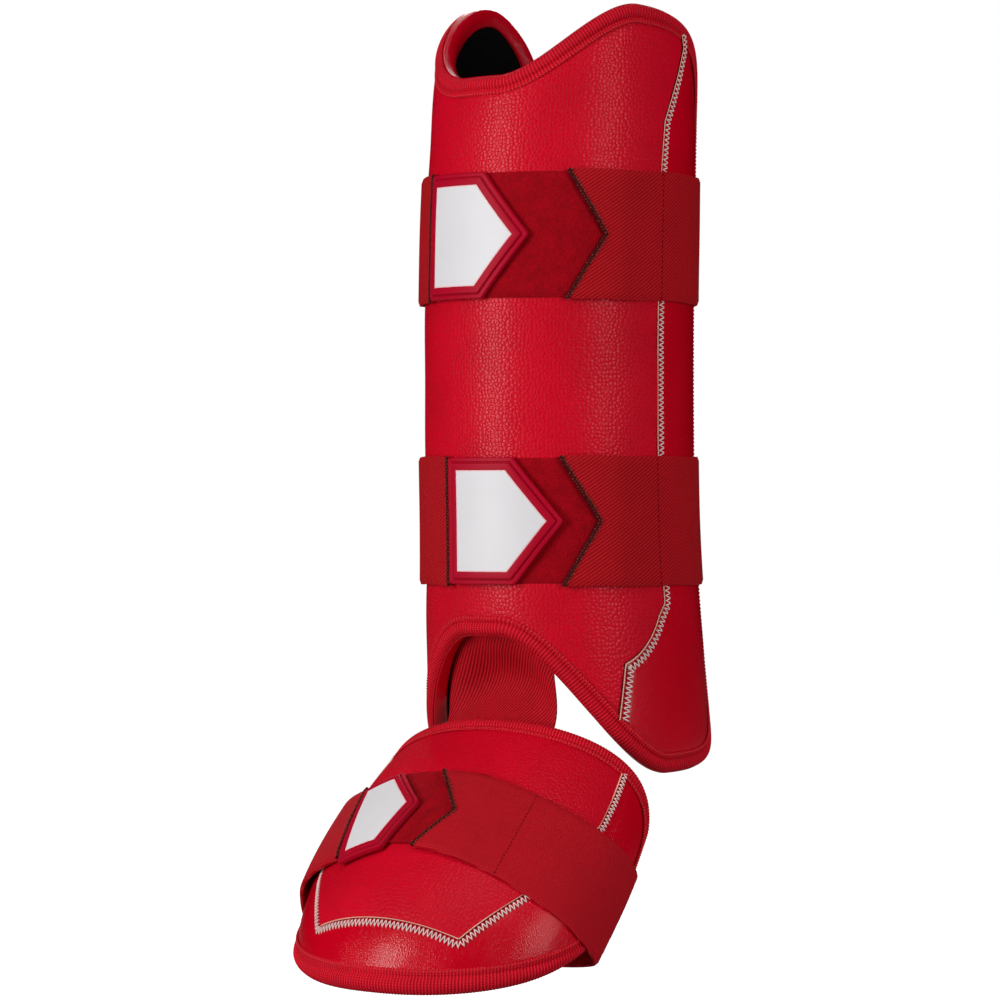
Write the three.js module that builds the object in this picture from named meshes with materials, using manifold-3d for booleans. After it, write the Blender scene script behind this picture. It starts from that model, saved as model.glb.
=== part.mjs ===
// Batter's leg guard for a left leg: a padded shin shell, a foot plate hung below it on an elastic
// tongue, and three wrap straps that each end in a moulded rubber tab.
// Millimetres, +Z up. The shin faces -Y and the outer side of the leg is +X. The origin is on the
// leg's axis at the middle of the shin shell's height.
import * as THREE from 'three';
import Module from 'manifold-3d';

// Shin shell: a padded C-shaped wall round the leg
const shellHalfWidth = 65;
const shellHalfDepth = 65;
const shellPadding = 6.4;
const shellWrapAngle = 137;
const shellFrontTop = 141;
const outerTopRise = 35.5;
const innerTopRise = 53;
const archHeight = -127;
const ankleFlapDrop = 66;
const shinBow = 7;
const ankleFlare = 4;
const topTaper = 1.5;

// Lining inside the shin shell
const liningThickness = 1.5;
const rimStart = 1;
const rimWidth = 10;

// Foot plate: a dome over the instep, tilted down towards the toe
const plateLength = 160;
const ankleHalfWidth = 72;
const toeHalfWidth = 64;
const middleFullness = 12.5;
const ankleRise = 38;
const toeRise = 63;
const noseDrop = 29.5;
const ridgeLift = 4.5;
const plateWrapAngle = 93;
const platePadding = 6;
const plateSideOffset = 4.5;
const plateForward = 54.5;
const plateBelowArch = 39;
const platePitch = 39.5;
const plateYaw = 3;
const plateRoll = 1.5;

// Edge bindings: elastic tape rolled over the edges of both shells
const shinBindingRadius = 3.4;
const footBindingRadius = 4.2;

// Webbing straps, loop patches and tongue
const shinStrapWidth = 62;
const footStrapWidth = 50;
const webbingThickness = 2;
const patchThickness = 1.6;
const patchMargin = 1;
const notchDepth = 18;
const upperStrapHeight = 64;
const lowerStrapHeight = -72;
const footStrapAlong = 67;
const footStrapDrift = 7;
const footStandOff = 2.5;
const soleDepth = 9;
const footNotchDepth = 14;
const tongueWidth = 68;
const tongueThickness = 2;
const tongueTopAboveArch = 36;
const tongueLeaveAboveArch = 4;
const tongueEnter = 13;
const tongueOverlap = 30;
const tongueShinGap = 1.5;
const tongueFootGap = 1.8;
const tongueSide = -5.5;
const tongueLean = -3.5;

// Rubber tabs: a five-sided frame round a white plate
const tabSide = 35.3;
const tabPoint = 22.8;
const tabHeight = 60.5;
const tabFrameWidth = 6.3;
const tabBase = 2;
const tabRim = 1.6;
const tabPlateThickness = 0.8;
const footTabSide = 23.5;
const footTabPoint = 14;
const footTabHeight = 53.5;
const footTabFrameWidth = 5;

// Spaces kept between pieces
const gap = 0.3;
const strapGap = 1;
const bindingGap = 0.5;
const rimDrop = 0.3;
const liningGap = 0.8;
const bindingProud = 0.5;

const degree = Math.PI / 180;
const tiny = 1e-6;
const clamp01 = (x) => Math.min(1, Math.max(0, x));
const lerp = (a, b, t) => a + (b - a) * t;

// Smooth step from 0 at the start to 1 at the end
function ramp(start, end, x) {
  const t = clamp01((x - start) / (end - start));
  return t * t * (3 - 2 * t);
}

// Value between the rows of a short table that has the columns at and value
function along(rows, at) {
  const last = rows.length - 1;
  if (at <= rows[0].at) return rows[0].value;
  if (at >= rows[last].at) return rows[last].value;
  const next = rows.findIndex((row) => row.at > at);
  const from = rows[next - 1];
  const to = rows[next];
  return lerp(from.value, to.value, (at - from.at) / (to.at - from.at));
}

// Closed geometry of a curved slab. The grid runs t and s from 0 to 1, place(t, s, k) gives the point
// of the inner face for k = 0 and of the outer face for k = 1, and only active cells are filled. A
// four-sided face is split along its shorter diagonal. Side walls are split from the lower index
// inside to the higher index outside, so that neighbours match.
function slab(columns, rows, place, active = () => true) {
  const positions = [];
  const indices = [];
  const seen = new Map();
  const vertex = (i, j, k) => {
    const key = `${i},${j},${k}`;
    if (!seen.has(key)) {
      seen.set(key, positions.length / 3);
      positions.push(...place(i / columns, j / rows, k));
    }
    return seen.get(key);
  };
  const quad = (a, b, c, d) => indices.push(a, b, c, a, c, d);
  const corner = (index) => new THREE.Vector3().fromArray(positions, index * 3);
  const face = (a, b, c, d) => {
    const first = corner(a).distanceTo(corner(c));
    const second = corner(b).distanceTo(corner(d));
    return first < second ? quad(a, b, c, d) : quad(b, c, d, a);
  };
  const filled = (i, j) => i >= 0 && j >= 0 && i < columns && j < rows && active(i, j);
  for (let i = 0; i < columns; i += 1) {
    for (let j = 0; j < rows; j += 1) {
      if (!filled(i, j)) continue;
      const corners = [[i, j], [i + 1, j], [i + 1, j + 1], [i, j + 1]];
      const neighbours = [[i, j - 1], [i + 1, j], [i, j + 1], [i - 1, j]];
      face(...corners.map(([p, q]) => vertex(p, q, 1)));
      face(...[...corners].reverse().map(([p, q]) => vertex(p, q, 0)));
      neighbours.forEach(([p, q], side) => {
        if (filled(p, q)) return;
        const [a, b] = [corners[side], corners[(side + 1) % 4]];
        const wall = [vertex(...a, 0), vertex(...b, 0), vertex(...b, 1), vertex(...a, 1)];
        quad(...(side < 2 ? wall : [...wall.slice(1), wall[0]]));
      });
    }
  }
  return outward(positions, indices);
}

// Closed tube round a loop of spots: place(spot, angle) gives a point of the section at a spot
function loopTube(spots, sides, place) {
  const positions = [];
  const indices = [];
  const count = spots.length;
  for (let i = 0; i < count; i += 1) {
    for (let j = 0; j < sides; j += 1) {
      positions.push(...place(spots[i], (j / sides) * 2 * Math.PI));
      const a = i * sides + j;
      const b = i * sides + ((j + 1) % sides);
      const c = ((i + 1) % count) * sides + ((j + 1) % sides);
      const d = ((i + 1) % count) * sides + j;
      indices.push(a, b, c, a, c, d);
    }
  }
  return outward(positions, indices);
}

// Geometry whose faces point out, whichever way round its grid ran
function outward(positions, indices) {
  let volume = 0;
  const at = (index) => new THREE.Vector3().fromArray(positions, index * 3);
  for (let i = 0; i < indices.length; i += 3) {
    volume += at(indices[i]).dot(at(indices[i + 1]).cross(at(indices[i + 2])));
  }
  if (volume < 0) indices.reverse();
  const geometry = new THREE.BufferGeometry();
  geometry.setAttribute('position', new THREE.Float32BufferAttribute(positions, 3));
  geometry.setIndex(indices);
  return geometry;
}

// Shin shell surface

const shinTaperStart = 60;
const shinBowReach = 165;
const shinForward = 3;
const rearEdgeShare = 0.995;
const flareFrom = -60;
const flareTo = -200;
const topCornerPower = 5;
const bottomCornerPower = 8;

// Angles from the front between which each edge rises or drops
const outerRise = { from: 5, to: 70 };
const innerRise = { from: 15, to: 110 };
const flapDrop = { from: 8, to: 80 };

// Height that a rounded rear corner takes off the edge at an angle, a superellipse of the given power
function cornerFall(angle, power) {
  const halfHeight = (shellFrontTop - archHeight + outerTopRise + ankleFlapDrop) / 2;
  const share = Math.min(1, Math.abs(angle) / shellWrapAngle) * rearEdgeShare;
  return halfHeight * (1 - (1 - share ** power) ** (1 / power));
}

// Top edge over the front dip, the outer peak and the inner peak
function shinTop(angle) {
  const outer = outerTopRise * ramp(outerRise.from, outerRise.to, angle);
  const inner = innerTopRise * ramp(innerRise.from, innerRise.to, -angle);
  return shellFrontTop + outer + inner - cornerFall(angle, topCornerPower);
}

// Bottom edge: an arch over the instep between two ankle flaps
function shinBottom(angle) {
  const drop = ankleFlapDrop * ramp(flapDrop.from, flapDrop.to, Math.abs(angle));
  return archHeight - drop + cornerFall(angle, bottomCornerPower);
}

// Point of the shin surface at an angle from the front, a height and an offset outwards
function shinPoint(angle, height, offset) {
  const taper = topTaper * ramp(shinTaperStart, shinBowReach, height);
  const flare = ankleFlare * ramp(flareFrom, flareTo, height);
  const grow = flare - taper + offset;
  const middle = shinBow * (height / shinBowReach) ** 2 - shinForward;
  return [
    (shellHalfWidth + grow) * Math.sin(angle * degree),
    middle - (shellHalfDepth + grow) * Math.cos(angle * degree),
    height,
  ];
}

// Direction into the shell from an edge at an angle, as [degrees, millimetres of height]
const slopeStep = 0.25;
function inward(edge, angle, sign) {
  const arc = shellHalfWidth * degree;
  const limit = (a) => Math.min(shellWrapAngle, Math.max(-shellWrapAngle, a));
  const [from, to] = [limit(angle - slopeStep), limit(angle + slopeStep)];
  const slope = (edge(to) - edge(from)) / ((to - from) * arc);
  const length = Math.hypot(1, slope);
  return [(sign * slope) / length / arc, -sign / length];
}

// Angle of the seam between front panel and side panel, by the share of the height
const shinSeam = [
  { at: 0, value: 52.5 },
  { at: 0.095, value: 57 },
  { at: 0.21, value: 83.6 },
  { at: 0.42, value: 82.9 },
  { at: 0.61, value: 83.2 },
  { at: 0.8, value: 84.2 },
  { at: 0.87, value: 86.2 },
  { at: 0.94, value: 95.4 },
  { at: 0.985, value: 100 },
  { at: 1, value: 98 },
];

// Rows of the panels by share of the height, closer together where the seam steps out
const shinRows = [0, 0.05, 0.095, 0.124, 0.152, 0.181, 0.21, 0.33, 0.45, 0.57, 0.69, 0.8, 0.87, 0.94, 0.985, 1];
const plainSeam = 80;

// Angle and height on the shell for c across from -1 to 1, with the seams at c = -0.5 and c = 0.5,
// and s from the bottom edge to the top edge, moved in from the edge by the inset
function shellSpot(c, s, inset, seam = plainSeam) {
  const outside = Math.sin(clamp01(Math.abs(c) * 2 - 1) * 90 * degree);
  const size = Math.abs(c) <= 0.5 ? Math.abs(c) * 2 * seam : lerp(seam, shellWrapAngle, outside);
  const angle = Math.sign(c) * size;
  const height = lerp(shinBottom(angle), shinTop(angle), s);
  const low = inward(shinBottom, angle, -1);
  const high = inward(shinTop, angle, 1);
  return [angle + inset * lerp(low[0], high[0], s), height + inset * lerp(low[1], high[1], s)];
}

// Walk round the edge of a grid of columns across and rows, as spots [c, s]
function perimeter(across, rows) {
  const [last, top] = [across.length - 1, rows.length - 1];
  return [
    ...across.slice(0, last).map((c) => [c, 0]),
    ...rows.slice(0, top).map((s) => [1, s]),
    ...across.slice(1).reverse().map((c) => [c, 1]),
    ...rows.slice(1).reverse().map((s) => [-1, s]),
  ];
}

// Equal steps from one value to another
const steps = (from, to, count) => Array.from({ length: count + 1 }, (_, i) => lerp(from, to, i / count));

// Columns of the panels across the shell: inner side, front and outer side
const sideColumns = steps(0.5, 1, 6);
const frontColumns = steps(-0.5, 0.5, 20);
const shinColumns = [...steps(-1, -0.5, 6).slice(0, 6), ...frontColumns, ...sideColumns.slice(1)];

// Padded panel of the shin shell between two values of c, half a gap short of each seam
function shinPanel(columns) {
  const inset = 2 * shinBindingRadius + bindingGap;
  const halfGap = gap / shellHalfWidth / degree / 2;
  const [from, to] = [columns[0], columns[columns.length - 1]];
  return slab(columns.length - 1, shinRows.length - 1, (t, share, k) => {
    const s = shinRows[Math.round(share * (shinRows.length - 1))];
    const [angle, height] = shellSpot(lerp(from, to, t), s, inset, along(shinSeam, s));
    const leftSeam = t === 0 && from > -1 ? halfGap : 0;
    const rightSeam = t === 1 && to < 1 ? halfGap : 0;
    return shinPoint(angle + leftSeam - rightSeam, height, k === 1 ? 0 : -shellPadding);
  });
}

const liningOffset = -shellPadding - liningGap;
const shellThickness = shellPadding + liningGap + liningThickness;
const liningColumns = 24;
const liningRows = 8;
const bindingSides = 6;

// Black lining: one sheet inside the rim
function shinLining() {
  const inset = rimStart + rimWidth + 2 * gap;
  return slab(liningColumns, liningRows, (t, s, k) => {
    const [angle, height] = shellSpot(2 * t - 1, s, inset);
    return shinPoint(angle, height, k === 1 ? liningOffset : liningOffset - liningThickness);
  });
}

// Smooth rim band inside the binding, from near the edge to the lining
function shinRim() {
  const spots = perimeter(steps(-1, 1, liningColumns), steps(0, 1, liningRows));
  return loopTube(spots, 4, ([c, s], angle) => {
    const corner = Math.round(angle / (Math.PI / 2));
    const inset = corner === 0 || corner === 3 ? rimStart : rimStart + rimWidth;
    const offset = liningOffset - rimDrop - (corner < 2 ? 0 : liningThickness);
    const [turn, height] = shellSpot(c, s, inset);
    return shinPoint(turn, height, offset);
  });
}

// Rolled binding of the shin shell
function shinBinding() {
  const reach = shellPadding / 2;
  return loopTube(perimeter(shinColumns, shinRows), bindingSides, ([c, s], angle) => {
    const inset = shinBindingRadius * (1 - Math.cos(angle));
    const [turn, height] = shellSpot(c, s, inset, along(shinSeam, s));
    return shinPoint(turn, height, -reach + (reach + bindingProud) * Math.sin(angle));
  });
}

// Foot plate surface

const plateNarrowing = 0.2;
const plateEdgeShare = 0.985;
const anklePower = 3.5;
const toePower = 2.1;
const soleStart = 0.06;

// Point of the dome at an angle across from the ridge and a length along from the ankle edge. Past the
// plate's sides the section runs on as the flat loop that a strap takes under the sole.
function domePoint(angle, length) {
  const share = length / plateLength;
  const fullness = 4 * middleFullness * share * (1 - share);
  const halfWidth = lerp(ankleHalfWidth, toeHalfWidth, share) + fullness;
  const rise = lerp(ankleRise, toeRise, share);
  const ridge = ridgeLift * share ** 2 - noseDrop * Math.abs(share) ** 5;
  const below = -Math.cos(angle * degree);
  const flattening = (rise - soleDepth) * Math.max(0, below - soleStart) / (1 - soleStart);
  const height = ridge - rise * (1 + below) + flattening;
  return new THREE.Vector3(halfWidth * Math.sin(angle * degree), -length, height);
}

// The same point moved out along the dome's normal and set in the tilted place of the plate
function footPoint(angle, length, offset) {
  const point = domePoint(angle, length);
  const across = domePoint(angle + 0.5, length).sub(domePoint(angle - 0.5, length));
  const down = domePoint(angle, length + 0.5).sub(domePoint(angle, length - 0.5));
  point.addScaledVector(down.cross(across).normalize(), offset);
  point.applyAxisAngle(new THREE.Vector3(0, 1, 0), plateRoll * degree);
  point.applyAxisAngle(new THREE.Vector3(1, 0, 0), platePitch * degree);
  point.applyAxisAngle(new THREE.Vector3(0, 0, 1), plateYaw * degree);
  point.add(new THREE.Vector3(plateSideOffset, -plateForward, archHeight - plateBelowArch));
  return point.toArray();
}

// Shares along of the plate's two edges at a share across: -1 at the ankle, 1 at the toe
const ankleEdge = (a) => -((1 - Math.abs(a) ** anklePower) ** (1 / anklePower));
const toeEdge = (a) => (1 - Math.abs(a) ** toePower) ** (1 / toePower);

// Angle and length on the dome for the shares across and along
const domeSpot = (a, b) => [plateWrapAngle * a * (1 - plateNarrowing * b), (plateLength * (b + 1)) / 2];

// Direction into the plate from one of its edges, as [degrees, millimetres of length]
const shareStep = 0.004;
function plateInward(edge, a, sign) {
  const arc = ankleHalfWidth * degree;
  const limit = (x) => Math.min(plateEdgeShare, Math.max(-plateEdgeShare, x));
  const [from, to] = [limit(a - shareStep), limit(a + shareStep)];
  const start = domeSpot(from, edge(from));
  const end = domeSpot(to, edge(to));
  const run = (end[0] - start[0]) * arc;
  const climb = end[1] - start[1];
  const size = Math.hypot(run, climb);
  return [(sign * -climb) / size / arc, (sign * run) / size];
}

// Share across of the seam round the centre panel, by the share of the panel's length
const footSeam = [
  { at: 0, value: 0.565 },
  { at: 0.3, value: 0.61 },
  { at: 0.75, value: 0.54 },
  { at: 1, value: 0.42 },
];
const footSeamFront = 0.67;
const footFrontRow = 0.75;
const footFrontLimit = 0.88;

// Angle and length on the dome for c across, with the seams at c = -0.5 and c = 0.5, and s from the
// ankle edge to the toe, with the toe seam at footFrontRow, moved in from the edge by the inset
function plateSpot(c, s, inset) {
  const seam = along(footSeam, s / footFrontRow);
  const outside = Math.sin(clamp01(Math.abs(c) * 2 - 1) * 90 * degree);
  const size = Math.abs(c) <= 0.5 ? Math.abs(c) * 2 * seam : lerp(seam, plateEdgeShare, outside);
  const a = Math.sign(c) * size;
  const [low, high] = [ankleEdge(a), toeEdge(a)];
  const front = Math.min(footSeamFront, lerp(low, high, footFrontLimit));
  const b = s <= footFrontRow
    ? lerp(low, front, s / footFrontRow)
    : lerp(front, high, (s - footFrontRow) / (1 - footFrontRow));
  const [angle, length] = domeSpot(a, b);
  const [ankleWay, toeWay] = [plateInward(ankleEdge, a, 1), plateInward(toeEdge, a, -1)];
  return [
    angle + inset * lerp(ankleWay[0], toeWay[0], s),
    length + inset * lerp(ankleWay[1], toeWay[1], s),
  ];
}

const plateInsetStart = 2 * footBindingRadius + bindingGap;
const footColumns = 20;
const footRows = 12;
const footFrontRows = footRows * footFrontRow;
const inFootCentre = (i, j) => i >= footColumns / 4 && i < (footColumns * 3) / 4 && j < footFrontRows;

// Padded panel of the foot plate: the cells inside or outside the seam, drawn back from it by half a
// gap. The share c spans about two half widths of the plate, and s its length.
function footPanel(centre) {
  const hold = centre ? -1 : 1;
  const halfAcross = gap / 2 / (2 * ankleHalfWidth);
  const halfAlong = gap / 2 / plateLength;
  return slab(footColumns, footRows, (t, s, k) => {
    const across = 2 * t - 1;
    const onFront = Math.abs(s - footFrontRow) < tiny && Math.abs(across) <= 0.5 + tiny;
    const onSide = Math.abs(Math.abs(across) - 0.5) < tiny && s <= footFrontRow + tiny;
    const c = across + (onSide ? hold * halfAcross * Math.sign(across) : 0);
    const row = s + (onFront ? hold * halfAlong : 0);
    const [angle, length] = plateSpot(c, row, plateInsetStart);
    return footPoint(angle, length, k === 1 ? 0 : -platePadding);
  }, (i, j) => inFootCentre(i, j) === centre);
}

// Rolled binding of the foot plate
function footBinding() {
  const reach = platePadding / 2;
  const spots = perimeter(steps(-1, 1, footColumns), steps(0, 1, footRows));
  return loopTube(spots, bindingSides, ([c, s], angle) => {
    const [turn, length] = plateSpot(c, s, footBindingRadius * (1 - Math.cos(angle)));
    return footPoint(turn, length, -reach + (reach + bindingProud) * Math.sin(angle));
  });
}

// Straps, patches and tabs

const patchOffset = gap;
const overPatch = patchOffset + patchThickness + gap;
const webbingRows = 4;
const webbingColumns = 44;
const notchColumns = 3;
const notchShare = notchColumns / webbingColumns;
const webbingFull = 2;
const patchBack = 6;
const patchPast = 3;
const notchShape = (s) => 1 - Math.abs(2 * s - 1);
const shinArc = (length) => length / shellHalfWidth / degree;

// The shin straps, by the angle of the notch's corners and of the tab's straight edge
const shinStraps = [
  { name: 'upper', height: upperStrapHeight, notch: 40, tab: -26.6 },
  { name: 'lower', height: lowerStrapHeight, notch: 37.5, tab: -13 },
];

// Angles past the notch, and round the leg, between which the webbing comes down off the patch and
// climbs back on to it
const patchLeave = { from: 20, to: 34 };
const patchArrive = { from: 250, to: 290 };

// Offset of the webbing from the shell: over the patch at both ends, on the shell and leg between
function shinLift(angle, strap) {
  const leaving = ramp(patchLeave.from, patchLeave.to, angle - strap.notch);
  const arriving = ramp(patchArrive.from, patchArrive.to, angle);
  return overPatch + (strapGap - overPatch) * (leaving - arriving);
}

// Webbing from its V-notched end round the back of the leg to the tab
function shinWebbing(strap) {
  const end = 360 + strap.tab - shinArc(gap);
  const full = strap.notch + shinArc(notchDepth) + webbingFull;
  return slab(webbingColumns, webbingRows, (t, s, k) => {
    const start = strap.notch + shinArc(notchDepth) * notchShape(s);
    const angle = t < notchShare
      ? lerp(start, full, t / notchShare)
      : lerp(full, end, (t - notchShare) / (1 - notchShare));
    const height = strap.height + shinStrapWidth * (s - 0.5);
    return shinPoint(angle, height, shinLift(angle, strap) + k * webbingThickness);
  });
}

// Brushed patch under the tab and under the notched end
function shinPatch(strap) {
  const start = strap.tab - shinArc(patchBack);
  const end = strap.notch + shinArc(notchDepth + patchPast);
  return slab(16, 2, (t, s, k) => {
    const height = strap.height + (shinStrapWidth - 2 * patchMargin) * (s - 0.5);
    return shinPoint(lerp(start, end, t), height, patchOffset + k * patchThickness);
  });
}

// Sizes of a five-sided tab, drawn in from its edge by the inset
function tabOutline(tab, inset) {
  const slope = tab.height / 2 / tab.point;
  const half = tab.height / 2 - inset;
  const tip = tab.side + tab.point - inset * Math.hypot(1, 1 / slope);
  return { start: inset, shoulder: tip - half / slope, tip, half, slope };
}

// Curved five-sided slab on a surface, between two offsets, with a tip cut narrowly off
const straightColumns = 5;
const pointColumns = 3;
const tipHalf = 0.5;
function tabSlab(tab, inset, low, high) {
  const outline = tabOutline(tab, inset);
  const columns = straightColumns + pointColumns;
  return slab(columns, 4, (t, s, k) => {
    const step = t * columns;
    const x = step <= straightColumns
      ? lerp(outline.start, outline.shoulder, step / straightColumns)
      : lerp(outline.shoulder, outline.tip, (step - straightColumns) / pointColumns);
    const half = Math.max(tipHalf, Math.min(outline.half, (outline.tip - x) * outline.slope));
    return tab.place(x, half * (2 * s - 1), k === 1 ? high : low);
  });
}

const shinTab = (strap) => ({
  side: tabSide,
  point: tabPoint,
  height: tabHeight,
  frame: tabFrameWidth,
  place: (x, y, offset) => shinPoint(strap.tab + shinArc(x), strap.height + y, offset),
});

const footTabAngle = -36;
const footTabAlong = 75;
const footTabTurn = 16;
const footTab = {
  side: footTabSide,
  point: footTabPoint,
  height: footTabHeight,
  frame: footTabFrameWidth,
  place: (x, y, offset) => {
    const [cos, sin] = [Math.cos(footTabTurn * degree), Math.sin(footTabTurn * degree)];
    const angle = footTabAngle + (x * cos + y * sin) / ankleHalfWidth / degree;
    return footPoint(angle, footTabAlong - x * sin + y * cos, offset);
  },
};

const wasm = await Module();
wasm.setup();

// A closed geometry as a solid for cutting
function solid(geometry) {
  return new wasm.Manifold(new wasm.Mesh({
    numProp: 3,
    vertProperties: new Float32Array(geometry.getAttribute('position').array),
    triVerts: new Uint32Array(geometry.getIndex().array),
  }));
}

// Rubber frame: a five-sided slab with the plate's pocket sunk into its face
function tabFrame(tab) {
  const top = overPatch + tabBase + tabRim;
  const body = solid(tabSlab(tab, 0, overPatch, top));
  const pocket = solid(tabSlab(tab, tab.frame, overPatch + tabBase, top + tabRim));
  const mesh = body.subtract(pocket).getMesh();
  return outward([...mesh.vertProperties], [...mesh.triVerts]);
}

// White plate that sits in the frame's pocket
function tabPlate(tab) {
  const low = overPatch + tabBase + gap;
  return tabSlab(tab, tab.frame + gap, low, low + tabPlateThickness);
}

const footNotch = -6;
const footNotchSlant = 6;
const footStrapColumns = 38;

// Angles round the foot between which the strap drifts towards the toe on the outer side and half the
// way back under the sole, comes off the patch and back on to it, and stands off the inner side
const driftOut = { from: footNotch, to: 60 };
const driftBack = { from: 120, to: 320 };
const driftBackShare = 0.5;
const footLeave = { from: 14, to: 26 };
const footArrive = { from: 280, to: 310 };
const standRise = { from: 200, to: 280 };
const standFall = { from: 290, to: 322 };

// Length along the foot plate of the strap's middle line at an angle
function footStrapLine(angle) {
  const out = ramp(driftOut.from, driftOut.to, angle);
  const back = driftBackShare * ramp(driftBack.from, driftBack.to, angle);
  return footStrapAlong + footStrapDrift * (out - back);
}

// Webbing of the foot strap: from its notch over the outer side, under the sole and up to the tab
function footWebbing() {
  const tan = Math.tan(footTabTurn * degree);
  return slab(footStrapColumns, webbingRows, (t, s, k) => {
    const across = s - 0.5;
    const notch = footNotch + footNotchSlant * s;
    const start = notch + (footNotchDepth * notchShape(s)) / ankleHalfWidth / degree;
    const past = footStrapLine(360 + footTabAngle) + footStrapWidth * across - footTabAlong;
    const end = 360 + footTabAngle + (past * tan - 2 * gap) / ankleHalfWidth / degree;
    const angle = lerp(start, end, t);
    const leaving = ramp(footLeave.from, footLeave.to, angle);
    const arriving = ramp(footArrive.from, footArrive.to, angle);
    const lift = overPatch + (strapGap - overPatch) * (leaving - arriving);
    const standing = ramp(standRise.from, standRise.to, angle);
    const standOff = footStandOff * standing * (1 - ramp(standFall.from, standFall.to, angle));
    const length = footStrapLine(angle) + footStrapWidth * across;
    return footPoint(angle, length, lift + standOff + k * webbingThickness);
  });
}

// Brushed patch on the foot plate between tab and notch
const footPatchStart = 6;
const footPatchPast = 16;
const footPatchBack = 2;
function footPatch() {
  return slab(8, 2, (t, s, k) => {
    const angle = lerp(footTabAngle + footPatchStart, footNotch + footPatchPast, t);
    const length = footStrapAlong - footPatchBack + (footStrapWidth - 2 * patchMargin) * (s - 0.5);
    return footPoint(angle, length, patchOffset + k * patchThickness);
  });
}

// Shares of the tongue's columns up to the shin's edge and up to the foot plate, and the lengths of the
// bridge's handles as shares of its span, at the foot in its middle and at its sides
const tongueOnShin = 0.2;
const tongueOnFoot = 0.7;
const shinHandle = 0.35;
const footHandle = 1.1;
const footSideHandle = 0.6;

// Elastic tongue: its top lies on the shin lining, its bottom under the foot plate, and the stretch
// between them is a smooth bridge
function ankleTongue() {
  const top = archHeight + tongueTopAboveArch;
  const shinInner = -shellThickness - tongueShinGap;
  const footInner = -platePadding - tongueFootGap;
  const half = tongueWidth / 2;
  const shinAngle = (c) => Math.asin((tongueSide + c * half) / (shellHalfWidth + shinInner)) / degree;
  const onShin = (c, height, k) => {
    const angle = shinAngle(c);
    return new THREE.Vector3(...shinPoint(angle, height, shinInner - (1 - k) * tongueThickness));
  };
  const onFoot = (c, length, k) => {
    const side = tongueSide + tongueLean + c * half;
    const angle = Math.asin(side / ankleHalfWidth) / degree;
    return new THREE.Vector3(...footPoint(angle, length, footInner - (1 - k) * tongueThickness));
  };
  const enter = tongueEnter;
  const bridge = tongueOnFoot - tongueOnShin;
  return slab(20, 6, (t, s, k) => {
    const c = 2 * s - 1;
    const leave = shinBottom(shinAngle(c)) + tongueLeaveAboveArch;
    if (t <= tongueOnShin) return onShin(c, lerp(top, leave, t / tongueOnShin), k).toArray();
    if (t >= tongueOnFoot) {
      const under = (tongueOverlap * (t - tongueOnFoot)) / (1 - tongueOnFoot);
      return onFoot(c, enter + under, k).toArray();
    }
    const [from, to] = [onShin(c, leave, k), onFoot(c, enter, k)];
    const span = from.distanceTo(to);
    const fromWay = new THREE.Vector3(0, 0, -shinHandle * span);
    const reach = lerp(footHandle, footSideHandle, c * c) * span;
    const toWay = onFoot(c, enter, k).sub(onFoot(c, enter + 1, k)).setX(0).setLength(reach);
    const curve = new THREE.CubicBezierCurve3(from, from.clone().add(fromWay), to.clone().add(toWay), to);
    return curve.getPoint((t - tongueOnShin) / bridge).toArray();
  });
}

// Materials

const finish = (color, roughness) => new THREE.MeshStandardMaterial({ color, roughness, metalness: 0 });
const pebbledLeather = () => finish(0xb8001f, 0.5);
const smoothLeather = () => finish(0xa5001c, 0.4);
const blackLining = () => finish(0x141013, 0.9);
const elasticTape = () => finish(0xa00a20, 0.75);
const webbing = () => finish(0xa3061c, 0.8);
const brushedLoop = () => finish(0xa8001a, 0.95);
const redRubber = () => finish(0xa90a24, 0.5);
const whiteRubber = () => finish(0xe0dfe2, 0.45);

const guard = new THREE.Group();

function add(name, geometry, material) {
  const mesh = new THREE.Mesh(geometry, material);
  mesh.name = name;
  guard.add(mesh);
}

// Assembly

add('shin_front_panel', shinPanel(frontColumns), pebbledLeather());
add('shin_outer_side_panel', shinPanel(sideColumns), smoothLeather());
add('shin_inner_side_panel', shinPanel(steps(-1, -0.5, 6)), smoothLeather());
add('shin_inner_rim', shinRim(), smoothLeather());
add('shin_lining', shinLining(), blackLining());
add('shin_binding', shinBinding(), elasticTape());
for (const strap of shinStraps) {
  add(`${strap.name}_strap`, shinWebbing(strap), webbing());
  add(`${strap.name}_loop_patch`, shinPatch(strap), brushedLoop());
  add(`${strap.name}_tab_frame`, tabFrame(shinTab(strap)), redRubber());
  add(`${strap.name}_tab_plate`, tabPlate(shinTab(strap)), whiteRubber());
}
add('ankle_tongue', ankleTongue(), webbing());
add('foot_centre_panel', footPanel(true), pebbledLeather());
add('foot_toe_panel', footPanel(false), smoothLeather());
add('foot_binding', footBinding(), elasticTape());
add('foot_strap', footWebbing(), webbing());
add('foot_loop_patch', footPatch(), brushedLoop());
add('foot_tab_frame', tabFrame(footTab), redRubber());
add('foot_tab_plate', tabPlate(footTab), whiteRubber());

export default guard;
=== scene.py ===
# %% [markdown]
# # A batter's leg guard
# A leg guard is two padded shells and what straps them on. A long shell wraps the shin, a shorter
# plate covers the foot, and an elastic tongue hinges the plate to the shell. Foam gives the shells
# their form, a leather-like skin covers the foam, and elastic tape is rolled over every raw edge.
# The CAD model gives every piece its place. This file dresses it, one kind of piece at a time.

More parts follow.
